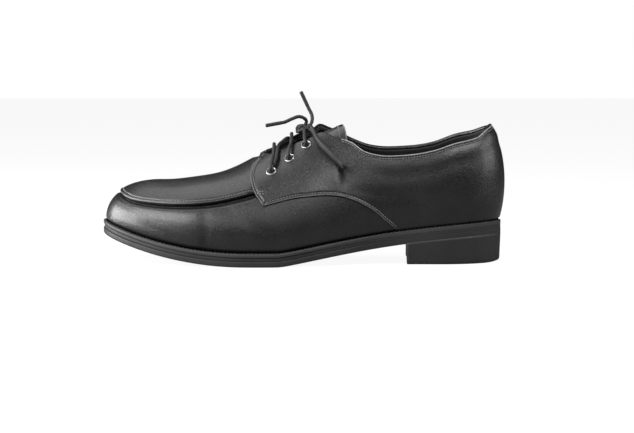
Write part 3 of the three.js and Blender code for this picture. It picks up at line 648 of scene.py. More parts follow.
# Collar from the facing's top corner to the heel, each side by itself
COLLAR_OUT = (
    (0.545, 1.057), (0.563, 1.055), (0.577, 1.033), (0.599, 1.013), (0.625, 0.987), (0.653, 0.922),
    (0.681, 0.892), (0.711, 0.880), (0.738, 0.882), (0.765, 0.888), (0.795, 0.901), (0.837, 0.932),
    (0.880, 0.981), (0.909, 1.002), (0.939, 1.033), (0.956, 1.078), (0.974, 1.121),
)
COLLAR_IN = (
    (0.545, 1.122), (0.563, 1.105), (0.599, 1.052), (0.625, 1.010), (0.661, 0.959), (0.706, 0.931),
    (0.738, 0.930), (0.765, 0.934), (0.795, 0.942), (0.837, 0.968), (0.891, 1.034), (0.939, 1.074),
    (0.956, 1.098), (0.974, 1.124),
)
HEEL_TOP_SHARE = 0.717


def locate(targets, axes, inner_side):
    """Stations and shares of the last whose two coordinates along the axes come nearest the targets."""
    targets = np.asarray(targets, float)
    station, share = np.meshgrid(np.linspace(0.05, HALF, 260), np.linspace(0, 1, 101), indexing="ij")
    station, share = station.ravel(), share.ravel()
    found = []
    surface = last_point(ROUND - station if inner_side else station, share)[:, axes]
    for target in targets:
        nearest = np.argmin(np.sum((surface - target) ** 2, 1))
        found.append((station[nearest], share[nearest]))
    found = np.array(found)
    reach = 0.06
    offsets = np.linspace(-1, 1, 9)
    du, dv = [grid.ravel() for grid in np.meshgrid(offsets, offsets)]
    for _ in range(8):
        u = np.clip(found[:, :1] + du * reach, 0.01, HALF)
        v = np.clip(found[:, 1:] + dv * reach * 0.2, 0, 1)
        tried = last_point(ROUND - u if inner_side else u, v)[..., axes]
        best = np.argmin(np.sum((tried - targets[:, None]) ** 2, -1), 1)
        found = np.stack([u[np.arange(len(u)), best], v[np.arange(len(v)), best]], 1)
        reach *= 0.4
    return found


SIDE = [0, 2]
PLAN = [0, 1]
SIDE_UNIT = np.array([SHOE_LENGTH, LAST_HEIGHT])
PLAN_UNIT = np.array([SHOE_LENGTH, BALL_WIDTH])


def smooth_between(at, x, y):
    """A smooth curve through points whose x rises, even beyond its ends."""
    return through_points(np.clip(at, x[0], x[-1]), x, y, np.gradient(y, x))


class QuarterLines:
    """The border lines of one quarter as shares over the stations of its own side."""

    def __init__(self, inner_side):
        self.inner_side = inner_side
        throat = locate(np.array(THROAT_IN if inner_side else THROAT_OUT) * PLAN_UNIT, PLAN, inner_side)
        collar = locate(np.array(COLLAR_IN if inner_side else COLLAR_OUT) * SIDE_UNIT, SIDE, inner_side)
        top = np.concatenate([throat, collar, [[HALF, HEEL_TOP_SHARE]]])
        seam = locate(np.array(QUARTER_SEAM) * SIDE_UNIT, SIDE, False)
        front = locate(np.array(QUARTER_FRONT) * SIDE_UNIT, SIDE, False)
        self.top_table = top[np.argsort(top[:, 0])]
        self.seam_table = seam[np.argsort(seam[:, 0])]
        self.front_table = np.concatenate([front, [[QUARTER_START, top[0, 1]]]])
        self.corner_share = seam[0, 1]
        self.feather = self.seam_table[-1, 0]

    def top(self, station):
        return smooth_between(station, *self.top_table.T)

    def seam(self, station):
        """The lower edge: the sewn line, and beyond its end the way down to the welt."""
        share = smooth_between(station, *self.seam_table.T)
        after = np.clip((station - self.feather) / (HALF - self.feather), 0, 1)
        run_out = self.seam_table[-1, 1] * (1 - after) ** 6
        return np.where(station > self.feather, run_out, np.clip(share, 0, 1))

    def front(self, part):
        """Station of the front edge at a part of the way from the corner to the throat."""
        share = self.corner_share + part * (self.front_table[-1, 1] - self.corner_share)
        return smooth_between(share, self.front_table[:, 1], self.front_table[:, 0])

    def place(self, along, part):
        """Station on the shoe and share at a place along the quarter and a part of its height."""
        shift = (self.front(part) - QUARTER_START) * np.exp(-(along - QUARTER_START) / 0.5)
        share = self.seam(along) + (self.top(along) - self.seam(along)) * part
        station = along + shift
        return (ROUND - station if self.inner_side else station), share


outer_lines = QuarterLines(False)
inner_lines = QuarterLines(True)
QUARTER_COLUMNS = 300
quarter_along = QUARTER_START + (HALF - QUARTER_START) * np.linspace(0, 1, QUARTER_COLUMNS) ** 1.5
quarter_parts = 0.5 - 0.5 * np.cos(np.pi * np.linspace(0, 1, 78))
CUT_EDGE = 0.0002
FOLDED_EDGE = 0.0010
QUARTER_SEW_AT = 0.0018
COLLAR_SEW_AT = 0.0019
COLLAR_FROM = 8.1
LAP_HEIGHT = 0.0006
LAP_FROM = 0.47
LAP_RISE = 0.03
LAP_FADE = 0.35
# Padding of the collar: where it starts and is full, its height, place below the edge and width
PADDING = (
    (8.5, 0.8, 0.0003, 0.0070, 0.0045),
    (10.2, 1.2, 0.0003, 0.0085, 0.0040),
    (8.5, 0.8, -0.0002, 0.0150, 0.0040),
)


def quarter_reach(base):
    """Distances of every point from the lower edge, the top edge and the front edge."""
    up = from_edge(base)
    down = np.flip(from_edge(np.flip(base, 1)), 1)
    back = from_edge(np.swapaxes(base, 0, 1)).T
    return up, down, back


def over_apron(along, share):
    """How much higher the quarter lies where it laps over the apron."""
    risen = np.clip((share - LAP_FROM) / LAP_RISE, 0, 1)
    return LAP_HEIGHT * risen * np.exp(-((along - QUARTER_START) / LAP_FADE) ** 2)


def quarter(name, lines):
    along, part = np.meshgrid(quarter_along, quarter_parts, indexing="ij")
    station, share = lines.place(along, part)
    up, down, back = quarter_reach(last_point(station, share))
    sewn_edge = np.clip((lines.feather - along) / 0.15, 0, 1)
    relief = QUARTER_RAISE - SEW_DEPTH * 0.7 * sewn_edge * ridge(up - QUARTER_SEW_AT, SEW_WIDTH)
    relief -= SEW_DEPTH * 0.7 * ridge(back - QUARTER_SEW_AT, SEW_WIDTH)
    collar = np.clip((along - COLLAR_FROM) / 0.15, 0, 1)
    relief -= SEW_DEPTH * 0.6 * collar * ridge(down - COLLAR_SEW_AT, SEW_WIDTH)
    relief += over_apron(along, share)
    for start, run, height, below, width in PADDING:
        relief += height * np.clip((along - start) / run, 0, 1) * ridge(down - below, width)
    outer = skin(station, share, relief)
    inner = skin(station, share, -WALL)
    rows, columns = outer.shape[:2]
    border = full_border(rows, columns)
    folded = FOLDED_EDGE * np.clip((quarter_along - COLLAR_FROM) / 0.4, 0.35, 1)
    bulges = [CUT_EDGE * (quarter_along[i] < lines.feather) if j == 0 else
              folded[i] if j == columns - 1 else
              CUT_EDGE * (i == 0) for i, j in border]
    piece = panel(name, outer, inner, border, np.array(bulges), calf)
    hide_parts("upper")


quarter("outer_quarter", outer_lines)
quarter("inner_quarter", inner_lines)

# Lining: soft dull leather that covers the inside of both quarters, up to just below the collar's fold.
# It is glued inside the quarters and reaches down to the footbed.
lining_leather = leather("lining_leather", (0.012, 0.012, 0.012), (0.022, 0.022, 0.022), 0.75, 0.35, 0.0)
LINING_FACE = 0.0036
LINING_DROP = 0.012
LINING_GAP = 0.0001
lining_along = np.linspace(QUARTER_START, HALF, 170)
lining_parts = np.linspace(0, 1, 44)
along, part = np.meshgrid(lining_along, lining_parts, indexing="ij")


def lining_side(lines):
    station = ROUND - along if lines.inner_side else along
    share = (lines.top(along) - LINING_DROP) * part
    return station, share


def lining_grid(depth):
    out_station, out_share = lining_side(outer_lines)
    in_station, in_share = lining_side(inner_lines)
    out_points = skin(out_station, out_share, -depth)
    in_points = skin(in_station, in_share, -depth)
    return np.concatenate([out_points, in_points[-2::-1]])


lining_outer, lining_inner = lining_grid(WALL + LINING_GAP), lining_grid(LINING_FACE)
lining = panel(
    "lining", lining_outer, lining_inner, full_border(*lining_outer.shape[:2]), 0.0003,
    lining_leather,
)
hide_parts("upper")

# Tongue: a soft flap under the facings, drawn down below the knot, its free end sewn and standing
# up behind it.
TONGUE_FROM = 5.5
TONGUE_TO = 8.24
TONGUE_LOW = 0.62
TONGUE_THICK = 0.0018
TONGUE_ROOT = 0.0030
TONGUE_SINK = 0.0050
TONGUE_END_DROP = 0.0022
TONGUE_CUT_BACK = 0.13
TONGUE_RISE_RUN = 0.75
TONGUE_RIPPLE = 0.0004
# Where the tongue's painted shade ends and its full shine begins, along its length
TONGUE_SHADE_TO = 0.153
TONGUE_UNSHADED_FROM = 0.160
tongue_along = np.linspace(TONGUE_FROM, TONGUE_TO, 110)
tongue_parts = np.linspace(0, 1, 40)


def tongue_side(inner_side, depth):
    along, part = np.meshgrid(tongue_along, tongue_parts, indexing="ij")
    end = (along - TONGUE_FROM) / (TONGUE_TO - TONGUE_FROM)
    # The free end is cut back a little at the crest
    along = along - TONGUE_CUT_BACK * end**6 * part**2
    share = TONGUE_LOW + (1 - TONGUE_LOW) * part
    fade = np.clip((TONGUE_TO - along) / TONGUE_RISE_RUN, 0, 1)
    fade = fade * fade * (3 - 2 * fade)
    lift = -TONGUE_ROOT - TONGUE_SINK * part**2 * fade - TONGUE_END_DROP * end**4
    ripple = TONGUE_RIPPLE * np.sin(along * 11 + part * 3) * np.exp(-(((along - 7.0) / 0.5) ** 2))
    station = ROUND - along if inner_side else along
    return skin(station, share, lift + ripple - depth)


def tongue_grid(depth):
    return np.concatenate([tongue_side(False, depth), tongue_side(True, depth)[:, -2::-1]], 1)


tongue_outer, tongue_inner = tongue_grid(0), tongue_grid(TONGUE_THICK)
tongue_leather = leather("tongue_leather", CALF_DARK, CALF_LIGHT, 0.4, 1.0, 0.3)
# The part down between the facings loses its specular and coat, painted shade; the free end shines like
# the rest
nodes, links = tongue_leather.node_tree.nodes, tongue_leather.node_tree.links
split, tongue_shade_fade = nodes.new("ShaderNodeSeparateXYZ"), nodes.new("ShaderNodeMapRange")
links.new(nodes["place"].outputs["Object"], split.inputs[0])
links.new(split.outputs["X"], tongue_shade_fade.inputs["Value"])
tongue_shade_fade.inputs["From Min"].default_value = TONGUE_SHADE_TO - HEEL_CENTRE
tongue_shade_fade.inputs["From Max"].default_value = TONGUE_UNSHADED_FROM - HEEL_CENTRE
tongue_shade_fade.inputs["To Max"].default_value = 0.5
for socket in ("Specular IOR Level", "Coat Weight"):
    links.new(tongue_shade_fade.outputs["Result"], nodes["Principled BSDF"].inputs[socket])
tongue = panel(
    "tongue", tongue_outer, tongue_inner, full_border(*tongue_outer.shape[:2]), 0.0003,
    tongue_leather,
)
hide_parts("tongue")

# Sole: welt sewn round the upper, a set-back midsole and a rubber outsole, all following the last's
# toe spring and arch. The block heel stands level on the floor.
OUTSOLE_THICK = 0.0042
MIDSOLE_THICK = 0.0026
MIDSOLE_SETBACK = 0.0007
WELT_UNDER_UPPER = 0.002
WELT_WIDTHS = np.array([
    [0, 0.0017], [0.07, 0.0026], [0.14, 0.0032], [0.2, 0.0032], [0.5, 0.0026], [0.67, 0.0018],
    [0.95, 0.0017], [1, 0.0024],
])
LAYER_GAP = 0.00006
HEEL_BREAST = 0.228
HEEL_TAPER = 0.0008
BREAST_HOLLOW = 0.0025
BREAST_SKEW = 0.0035
HEEL_SEATED = 0.0006
SOLE_STEPS = 420
EDGE_STEPS = 4
FLUSH_FROM = 0.45
FLUSH_RUN = 0.30
FLUSH_SHARE = 0.88
WELT_DROP = 0.0003


def rubber(name, tone, gloss, bump):
    material, nodes, links, shader = node_material(name)
    shade = noise_node(nodes, links, 45, 3)
    low = tuple(0.85 * c for c in tone)
    high = tuple(1.15 * c for c in tone)
    colour = ramp_node(nodes, links, shade.outputs["Fac"], [(0.3, low), (0.7, high)])
    links.new(colour.outputs["Color"], shader.inputs["Base Color"])
    rough = noise_node(nodes, links, 200, 3)
    rough = ramp_node(nodes, links, rough.outputs["Fac"], [(0.3, gloss - 0.05), (0.7, gloss + 0.06)])
    links.new(rough.outputs["Color"], shader.inputs["Roughness"])
    fine = noise_node(nodes, links, 1400, 2)
    relief = nodes.new("ShaderNodeBump")
    relief.inputs["Strength"].default_value = bump
    relief.inputs["Distance"].default_value = 0.0001
    links.new(fine.outputs["Fac"], relief.inputs["Height"])
    links.new(relief.outputs["Normal"], shader.inputs["Normal"])
    return material


sole_rubber = rubber("sole_rubber", (0.020, 0.020, 0.0205), 0.55, 0.4)
welt_rubber = rubber("welt_rubber", (0.040, 0.040, 0.0405), 0.50, 0.4)


def sole_loop(inset, height, stations, from_edge_line=False):
    """A loop round the sole, an inset within the welt's width or within the last's own edge."""
    x, y = edge_x(stations), edge_y(stations)
    out_x, out_y = plan_outward(stations)
    width = 0 if from_edge_line else np.interp(x / SHOE_LENGTH, *WELT_WIDTHS.T)
    reach = width - inset
    x, y = x + out_x * reach, y + out_y * reach
    return np.stack([x - HEEL_CENTRE, y, underside(x) + height], -1)


def wall_faces_between(loops, count, start=0, closed=False):
    """Faces through loops of points, and back to the first loop where the wall is closed."""
    faces = []
    for k in range(loops if closed else loops - 1):
        a, b = start + k * count, start + (k + 1) % loops * count
        for i in range(count):
            j = (i + 1) % count
            faces.append((a + i, a + j, b + j, b + i))
    return faces


def end_faces(loops, count, start=0):
    """One face over the first loop and one over the last."""
    last = start + (loops - 1) * count
    return [tuple(range(start, start + count))[::-1], tuple(range(last, last + count))]


def hoop_mesh(name, loops, caps, material):
    """Loops joined into a wall; capped with strips across, or closed into a ring."""
    count = len(loops[0])
    points = np.concatenate(loops)
    faces = wall_faces_between(len(loops), count, closed=not caps)
    if caps:
        for start, flip in ((0, True), ((len(loops) - 1) * count, False)):
            for i in range(count // 2):
                quad = [i, i + 1, (count - i - 1) % count, (count - i) % count]
                quad = [start + q for q in quad]
                faces.append(tuple(quad[::-1] if flip else quad))
    return mesh_object(name, points, faces, material)


sole_stations = np.linspace(0, ROUND, SOLE_STEPS + 1)[:-1]


def edge_profile(low, high, inset, radius):
    """Insets and heights of a side with rounded lower and upper edges."""
    profile = []
    for k in range(EDGE_STEPS + 1):
        angle = math.pi / 2 * k / EDGE_STEPS
        profile.append((inset + radius * (1 - math.sin(angle)), low + radius * (1 - math.cos(angle))))
    for k in range(EDGE_STEPS + 1):
        angle = math.pi / 2 * k / EDGE_STEPS
        profile.append((inset + radius * (1 - math.cos(angle)), high - radius * (1 - math.sin(angle))))
    return profile


def side_loops(profile):
    """Loops of a side whose steps fade out towards the heel, where the edge is trimmed flush."""
    place = np.clip((edge_x(sole_stations) / SHOE_LENGTH - FLUSH_FROM) / FLUSH_RUN, 0, 1)
    kept = 1 - FLUSH_SHARE * place**2 * (3 - 2 * place)
    return [sole_loop(inset * kept, height, sole_stations) for inset, height in profile]


outsole = hoop_mesh(
    "outsole", side_loops(edge_profile(0, OUTSOLE_THICK - LAYER_GAP, 0, 0.0007)), True,
    sole_rubber,
)
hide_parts("outsole")
midsole_low, midsole_high = OUTSOLE_THICK + LAYER_GAP, OUTSOLE_THICK + MIDSOLE_THICK - LAYER_GAP
midsole = hoop_mesh(
    "midsole", side_loops(edge_profile(midsole_low, midsole_high, MIDSOLE_SETBACK, 0.0003)), True,
    sole_rubber,
)
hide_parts("midsole")
welt_low, welt_high = OUTSOLE_THICK + MIDSOLE_THICK + LAYER_GAP, SOLE_THICK - WELT_DROP
welt_loops = side_loops(edge_profile(welt_low, welt_high, 0, 0.0008))
welt_loops += [
    sole_loop(WELT_UNDER_UPPER, welt_high, sole_stations, True),
    sole_loop(WELT_UNDER_UPPER, welt_low, sole_stations, True),
]
welt = hoop_mesh("welt", welt_loops, False, welt_rubber)
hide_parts("welt")

# Heel: a rubber block under the outsole, level on the floor. Its front face, the breast, is
# slightly hollow and askew, and its lower edge is worn away a little at the back.
HEEL_EDGE = 0.0007
HEEL_WEAR = 0.0012
WEAR_FROM = 0.022
WEAR_RUN = 0.014
breast_station = float(np.interp(HEEL_BREAST, edge_x(np.linspace(6, 12, 400)), np.linspace(6, 12, 400)))
heel_stations = np.linspace(breast_station, ROUND - breast_station, 160)


def heel_level(inset, share):
    """The heel's outline at a share of its height from the floor to the outsole."""
    outline = sole_loop(inset, 0, heel_stations)
    part = np.linspace(0, 1, 42)[1:-1]
    outline[-1, 0] = HEEL_BREAST - HEEL_CENTRE + inset + BREAST_SKEW / 2
    outline[0, 0] = HEEL_BREAST - HEEL_CENTRE + inset - BREAST_SKEW / 2
    breast = outline[-1] + (outline[0] - outline[-1]) * part[:, None]
    breast[:, 0] += 4 * BREAST_HOLLOW * part * (1 - part)
    loop = np.concatenate([outline, breast])
    worn = HEEL_WEAR * np.clip((loop[:, 0] - WEAR_FROM) / WEAR_RUN, 0, 1) ** 2
    low = worn * (share < 0.08)
    loop[:, 2] = low + share * (underside(loop[:, 0] + HEEL_CENTRE) + HEEL_SEATED)
    return loop


heel_rows = [(HEEL_TAPER + HEEL_EDGE, 0.0), (HEEL_TAPER + 0.0002, 0.010), (HEEL_TAPER, 0.030)]
heel_rows += [(HEEL_TAPER * (1 - s) - LAYER_GAP, s) for s in np.linspace(0.12, 1.0, 12)]
heel_loops = [heel_level(inset, share) for inset, share in heel_rows]
heel_points = np.concatenate(heel_loops)
heel_count = len(heel_loops[0])
heel_faces = wall_faces_between(len(heel_loops), heel_count) + end_faces(len(heel_loops), heel_count)
heel = mesh_object("heel", heel_points, heel_faces, sole_rubber)
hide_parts("heel")

# Insole: a leather sock on the footbed, cut a little smaller than the inside of the walls,
# with a bevelled upper edge.
INSOLE_THICK = 0.004
INSOLE_BEVEL = 0.0006
INSOLE_GAP = 0.0006
insole_low = OUTSOLE_THICK + MIDSOLE_THICK + 0.0003
insole_high = insole_low + INSOLE_THICK
insole_inset = WALL + INSOLE_GAP
insole_profile = [
    (insole_inset, insole_low), (insole_inset, insole_high - INSOLE_BEVEL),
    (insole_inset + INSOLE_BEVEL, insole_high),
]
insole = hoop_mesh(
    "insole", [sole_loop(i, h, sole_stations, True) for i, h in insole_profile], True,
    lining_leather,
)
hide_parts("insole")

# Eyelets: bright metal rings, three a side, pressed through the facing and rolled over on its
# outer face. Each one stands square to the leather at its place.
EYELET_BORE = 0.0058
EYELET_FLANGE = 0.0078
EYELET_RIM = 0.0008
EYELETS = ((6.26, 0.617, 0.578), (6.73, 0.661, 0.642), (7.17, 0.711, 0.710))
eyelet_metal, nodes, links, shader = node_material("eyelet_metal")
shader.inputs["Base Color"].default_value = (0.55, 0.55, 0.56, 1)
shader.inputs["Metallic"].default_value = 1.0
shader.inputs["Roughness"].default_value = 0.32
EYELET_SIDES = 48
ROLL_STEPS = 8


def frame_at(station, share, lift):
    point = last_point(station, share) - np.array([HEEL_CENTRE, 0, 0])
    normal = last_normal(station, share)
    along = last_point(station + 0.01, share) - last_point(station - 0.01, share)
    along -= normal * (along @ normal)
    along /= np.linalg.norm(along)
    return point + normal * lift, normal, along, np.cross(normal, along)


def eyelet(name, station, share):
    centre, normal, along, across = frame_at(station, share, 0)
    bore, flange = EYELET_BORE / 2, EYELET_FLANGE / 2
    seat = QUARTER_RAISE - 0.0001
    rolled = (flange - bore) / 2
    profile = [(bore + 0.0002, -WALL), (bore, seat)]
    for k in range(ROLL_STEPS + 1):
        angle = math.pi * (1 - k / ROLL_STEPS)
        height = seat + 0.0002 + EYELET_RIM * math.sin(angle)
        profile.append((bore + rolled + rolled * math.cos(angle), height))
    profile += [(flange, seat - 0.0004), (bore + 0.0005, -WALL)]
    points = []
    for k in range(EYELET_SIDES):
        angle = 2 * math.pi * k / EYELET_SIDES
        radial = along * math.cos(angle) + across * math.sin(angle)
        points += [centre + radial * radius + normal * height for radius, height in profile]
    faces = wall_faces_between(EYELET_SIDES, len(profile), closed=True)
    piece = mesh_object(name, points, faces, eyelet_metal)
    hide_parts(name)


for i, (station, out_share, in_share) in enumerate(EYELETS):
    eyelet(f"eyelet_outer_side_{i + 1}", station, out_share)
    eyelet(f"eyelet_inner_side_{i + 1}", ROUND - station, in_share)

# Lace: round waxed cotton, braided. It crosses the throat in straight bars and is tied in a bow over
# the top eyelets, one end swung forward and one up, both with hard tips.
LACE_WIDTH = 0.0028
AGLET_WIDTH = 0.0020
AGLET_LENGTH = 0.0123
BRAID_STEP = 0.00045
BRAID_SIDES = 20
BRAID_STRANDS = 8
BRAID_PITCH = 0.0062
BRAID_RELIEF = 0.24


def lace_material(name, tone, gloss):
    material, nodes, links, shader = node_material(name)
    fibre = noise_node(nodes, links, 1800, 3)
    colour = ramp_node(
        nodes, links, fibre.outputs["Fac"],
        [(0.3, tuple(0.4 * c for c in tone)), (0.7, tuple(1.8 * c for c in tone))],
    )
    links.new(colour.outputs["Color"], shader.inputs["Base Color"])
    shader.inputs["Roughness"].default_value = gloss
    relief = nodes.new("ShaderNodeBump")
    relief.inputs["Strength"].default_value = 0.5
    relief.inputs["Distance"].default_value = 0.00008
    links.new(fibre.outputs["Fac"], relief.inputs["Height"])
    links.new(relief.outputs["Normal"], shader.inputs["Normal"])
    return material


lace_cotton = lace_material("lace_cotton", (0.016, 0.016, 0.0165), 0.62)
aglet_plastic = lace_material("aglet_plastic", (0.02, 0.02, 0.02), 0.4)


def smooth_path(points, spacing):
    """Evenly spaced points along a smooth curve through the given ones."""
    points = np.asarray(points, float)
    padded = np.concatenate([[2 * points[0] - points[1]], points, [2 * points[-1] - points[-2]]])
    dense = []
    for k in range(len(points) - 1):
        p0, p1, p2, p3 = padded[k:k + 4]
        t0 = 0.0
        t1 = t0 + max(np.linalg.norm(p1 - p0), 1e-6) ** 0.5
        t2 = t1 + max(np.linalg.norm(p2 - p1), 1e-6) ** 0.5
        t3 = t2 + max(np.linalg.norm(p3 - p2), 1e-6) ** 0.5
        t = np.linspace(t1, t2, 24, endpoint=False)[:, None]
        a1 = (t1 - t) / (t1 - t0) * p0 + (t - t0) / (t1 - t0) * p1
        a2 = (t2 - t) / (t2 - t1) * p1 + (t - t1) / (t2 - t1) * p2
        a3 = (t3 - t) / (t3 - t2) * p2 + (t - t2) / (t3 - t2) * p3
        b1 = (t2 - t) / (t2 - t0) * a1 + (t - t0) / (t2 - t0) * a2
        b2 = (t3 - t) / (t3 - t1) * a2 + (t - t1) / (t3 - t1) * a3
        dense.append((t2 - t) / (t2 - t1) * b1 + (t - t1) / (t2 - t1) * b2)
    dense = np.concatenate(dense + [points[-1:]])
    run = np.concatenate([[0], np.cumsum(np.linalg.norm(np.diff(dense, axis=0), axis=1))])
    count = max(int(round(run[-1] / spacing)), 2)
    even = np.linspace(0, run[-1], count + 1)
    return np.stack([np.interp(even, run, dense[:, k]) for k in range(3)], 1)


def tube_mesh(path, radius_at, sides):
    """Points and faces of a closed tube whose radius depends on the run and the angle."""
    tangents = np.gradient(path, axis=0)
    tangents /= np.linalg.norm(tangents, axis=1, keepdims=True)
    side = np.cross(tangents[0], [0, 0, 1])
    if np.linalg.norm(side) < 0.1:
        side = np.cross(tangents[0], [0, 1, 0])
    side /= np.linalg.norm(side)
    run = np.concatenate([[0], np.cumsum(np.linalg.norm(np.diff(path, axis=0), axis=1))])
    angle = 2 * np.pi * np.arange(sides) / sides
    points = []
    for point, tangent, at in zip(path, tangents, run):
        side = side - tangent * (side @ tangent)
        side /= np.linalg.norm(side)
        other = np.cross(tangent, side)
        radius = radius_at(at, run[-1], angle)[:, None]
        points.append(point + radius * (np.cos(angle)[:, None] * side + np.sin(angle)[:, None] * other))
    faces = wall_faces_between(len(path), sides) + end_faces(len(path), sides)
    return np.concatenate(points), faces


def braided(at, total, angle):
    turn = 2 * np.pi * at / BRAID_PITCH
    over = np.abs(np.sin(BRAID_STRANDS / 4 * angle + turn) * np.sin(BRAID_STRANDS / 4 * angle - turn))
    return LACE_WIDTH / 2 * (1 - BRAID_RELIEF + BRAID_RELIEF * np.sqrt(over))


def lace_piece(name, route, node):
    path = smooth_path(route, BRAID_STEP)
    points, faces = tube_mesh(path, braided, BRAID_SIDES)
    piece = mesh_object(name, points, faces, lace_cotton)
    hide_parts(node)
    return piece, path


def from_millimetres(route):
    return [(x / 1000 - HEEL_CENTRE, y / 1000, z / 1000) for x, y, z in route]


FRONT_END = from_millimetres((
    (152.5, 1.8, 102.4), (152.9, 1.2, 104.6), (151.2, 0, 106.6), (147.2, -1.2, 107.8),
    (141.8, -2.6, 106.0), (136.6, -3.7, 103.7), (134.9, -3.9, 103.4),
))
UP_END = from_millimetres((
    (154.6, -2.3, 100.4), (156.6, -1.4, 103.0), (157.4, 0, 106.0), (156.8, 1, 109.6),
    (154.8, 1.6, 113.6), (154.1, 1.7, 115.1),
))
UP_WRAP = from_millimetres((
    (146.0, -3.2, 96.6), (147.4, -5.4, 97.3), (150.2, -6.6, 98.0), (152.6, -6.4, 98.9),
    (154.8, -4.8, 100.3), (156.6, -2.4, 102.8),
))
OUTER_LOOP = from_millimetres((
    (153.6, -3.9, 98.6), (157.4, -11.2, 97.4), (161.5, -19.1, 90.5), (165.1, -23.3, 86.4),
    (169.2, -26.5, 82.5), (173.3, -29.3, 78.6), (177.3, -31.4, 75.0), (179.6, -32.6, 72.4),
    (181.0, -34.7, 72.1), (179.6, -35.8, 73.9), (177.2, -34.3, 76.5), (173.1, -32.1, 80.3),
    (169.0, -29.3, 84.3), (164.8, -25.8, 88.4), (161.0, -21.5, 92.7), (158.6, -15.6, 97.6),
    (156.9, -12.6, 100.6),
))
INNER_LOOP = from_millimetres((
    (152.9, 5.8, 98.9), (154.6, 12.2, 99.4), (158.0, 19.3, 93.8), (162.0, 22.5, 89.6),
    (166.4, 24.7, 85.8), (170.6, 26.4, 82.2), (174.7, 27.9, 78.7), (177.0, 28.8, 76.0),
    (178.4, 30.9, 75.4), (177.0, 32.4, 76.9), (174.7, 31.4, 79.5), (170.6, 30.0, 83.0),
    (166.4, 28.2, 86.7), (162.2, 26.0, 90.4), (158.4, 23.2, 94.6), (155.8, 19.6, 98.2),
    (154.4, 16.6, 101.0),
))
knot = np.array(from_millimetres(((149.8, 0.6, 98.6),))[0])
BAR_RIDE = QUARTER_RAISE + EYELET_RIM + LACE_WIDTH / 2 + 0.0006
BAR_LIP = BAR_RIDE - 0.0002
BAR_ARCH = 0.0013
STRAND_ARCH = 0.0011
STRAND_LAST = 0.75
LACE_INSIDE = 0.001
LIP_SHARE = 0.86
LEAN_AT_ARCH = 0.4
LEAN_AT_MIDDLE = 0.7


def lifted(station, share, lift):
    return skin(np.array(station), np.array(share), np.array(lift))


def bar_side(station, share, lean):
    """One side of a bar, from inside its eyelet up to the facing's lip."""
    return [
        lifted(station, share, -LACE_INSIDE),
        lifted(station, share, BAR_RIDE),
        lifted(station + LEAN_AT_ARCH * lean, share + 0.05, BAR_RIDE + BAR_ARCH),
        lifted(station + LEAN_AT_MIDDLE * lean, (share + LIP_SHARE) / 2, BAR_RIDE - 0.0003),
        lifted(station + lean, LIP_SHARE, BAR_LIP),
    ]


for i, (station, out_share, in_share) in enumerate(EYELETS[:2]):
    route = bar_side(station, out_share, 0.11) + bar_side(ROUND - station, in_share, -0.09)[::-1]
    lace_piece(f"lace_bar_{i + 1}", route, f"lace_bar_{i + 1}")

# The crossing strand beside the first bar, slanting back under the far facing
crossing = [
    lifted(6.31, 0.640, -0.001), lifted(6.35, 0.650, BAR_RIDE - 0.0006), lifted(6.42, 0.700, BAR_RIDE),
    lifted(6.45, 0.765, BAR_RIDE - 0.0004), lifted(6.48, 0.840, BAR_RIDE - 0.0008),
    lifted(6.56, 0.920, BAR_RIDE - 0.0024), lifted(ROUND - 6.70, 0.960, BAR_RIDE - 0.0034),
    lifted(ROUND - 6.80, 0.880, -0.0030), lifted(ROUND - 6.84, 0.850, -0.0042),
]
lace_piece("lace_crossing", crossing, "lace_bar_1")

top_station, top_out, top_in = EYELETS[2]
for name, station, share in (
    ("lace_top_outer", top_station, top_out), ("lace_top_inner", ROUND - top_station, top_in),
):
    lip = lifted(station, LIP_SHARE, BAR_LIP)
    end = knot + np.array([-0.0006, math.copysign(0.0052, lip[1] - knot[1]), 0])
    route = [
        lifted(station, share, -LACE_INSIDE), lifted(station, share, BAR_RIDE),
        lifted(station, share + 0.04, BAR_RIDE + STRAND_ARCH), end + (lip - end) * STRAND_LAST, end,
    ]
    lace_piece(name, route, name)

# Knot: the lace wound over itself
KNOT_TURNS = 2
KNOT_SCREW = 0.0022
knot_turns = np.linspace(0, 2 * np.pi * KNOT_TURNS, 60)
knot_route = [
    knot + np.array([
        0.0030 * math.cos(t) + 0.0008 * math.sin(t / 2),
        -0.0035 + KNOT_SCREW * t / math.pi / 1.3,
        0.0024 * math.sin(t),
    ])
    for t in knot_turns
]
lace_piece("lace_knot", knot_route, "lace_knot")
CORD_IN_TIP = 0.012
TIP_WALL = 0.0004
TIP_EASE = 0.0006


def tip_radius(at, total, angle):
    ease = min(at, total - at) / TIP_EASE
    return np.full_like(angle, AGLET_WIDTH / 2 * (0.75 + 0.25 * min(1, ease)) + TIP_WALL)


for name, route in (("lace_end_front", FRONT_END), ("lace_end_up", UP_END)):
    points = [np.array(point) for point in route]
    along = points[-1] - points[-2]
    along /= np.linalg.norm(along)
    tip_name = name.replace("lace_end", "aglet")
    # The upright end comes round the front of the knot, the other straight out of its top
    start = UP_WRAP if route is UP_END else [knot + 0.3 * (points[0] - knot)] + points[:2]
    piece, path = lace_piece(name, start + points[2:] + [points[-1] + along * CORD_IN_TIP], name)
    tip_start = points[-1] + along * 0.0003
    tip_path = smooth_path([tip_start, tip_start + along * AGLET_LENGTH], 0.0005)
    tip_points, tip_faces = tube_mesh(tip_path, tip_radius, 16)
    tip = mesh_object(tip_name, tip_points, tip_faces, aglet_plastic)
    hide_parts(tip_name)

for name, route in (("lace_loop_outer", OUTER_LOOP), ("lace_loop_inner", INNER_LOOP)):
    piece, path = lace_piece(name, route, name)

# Stitches: short stitches of bonded thread along every seam of the upper, each one sunk into the
# leather at its ends.
STITCH_RADIUS = 0.00032
STITCH_SIDES = 6
STITCH_PITCH = 0.0021
STITCH_LENGTH = 0.0014
# The thread is grey-black; its paler grey paints the thread's sheen
thread = lace_material("thread", (0.19, 0.19, 0.19), 0.5)


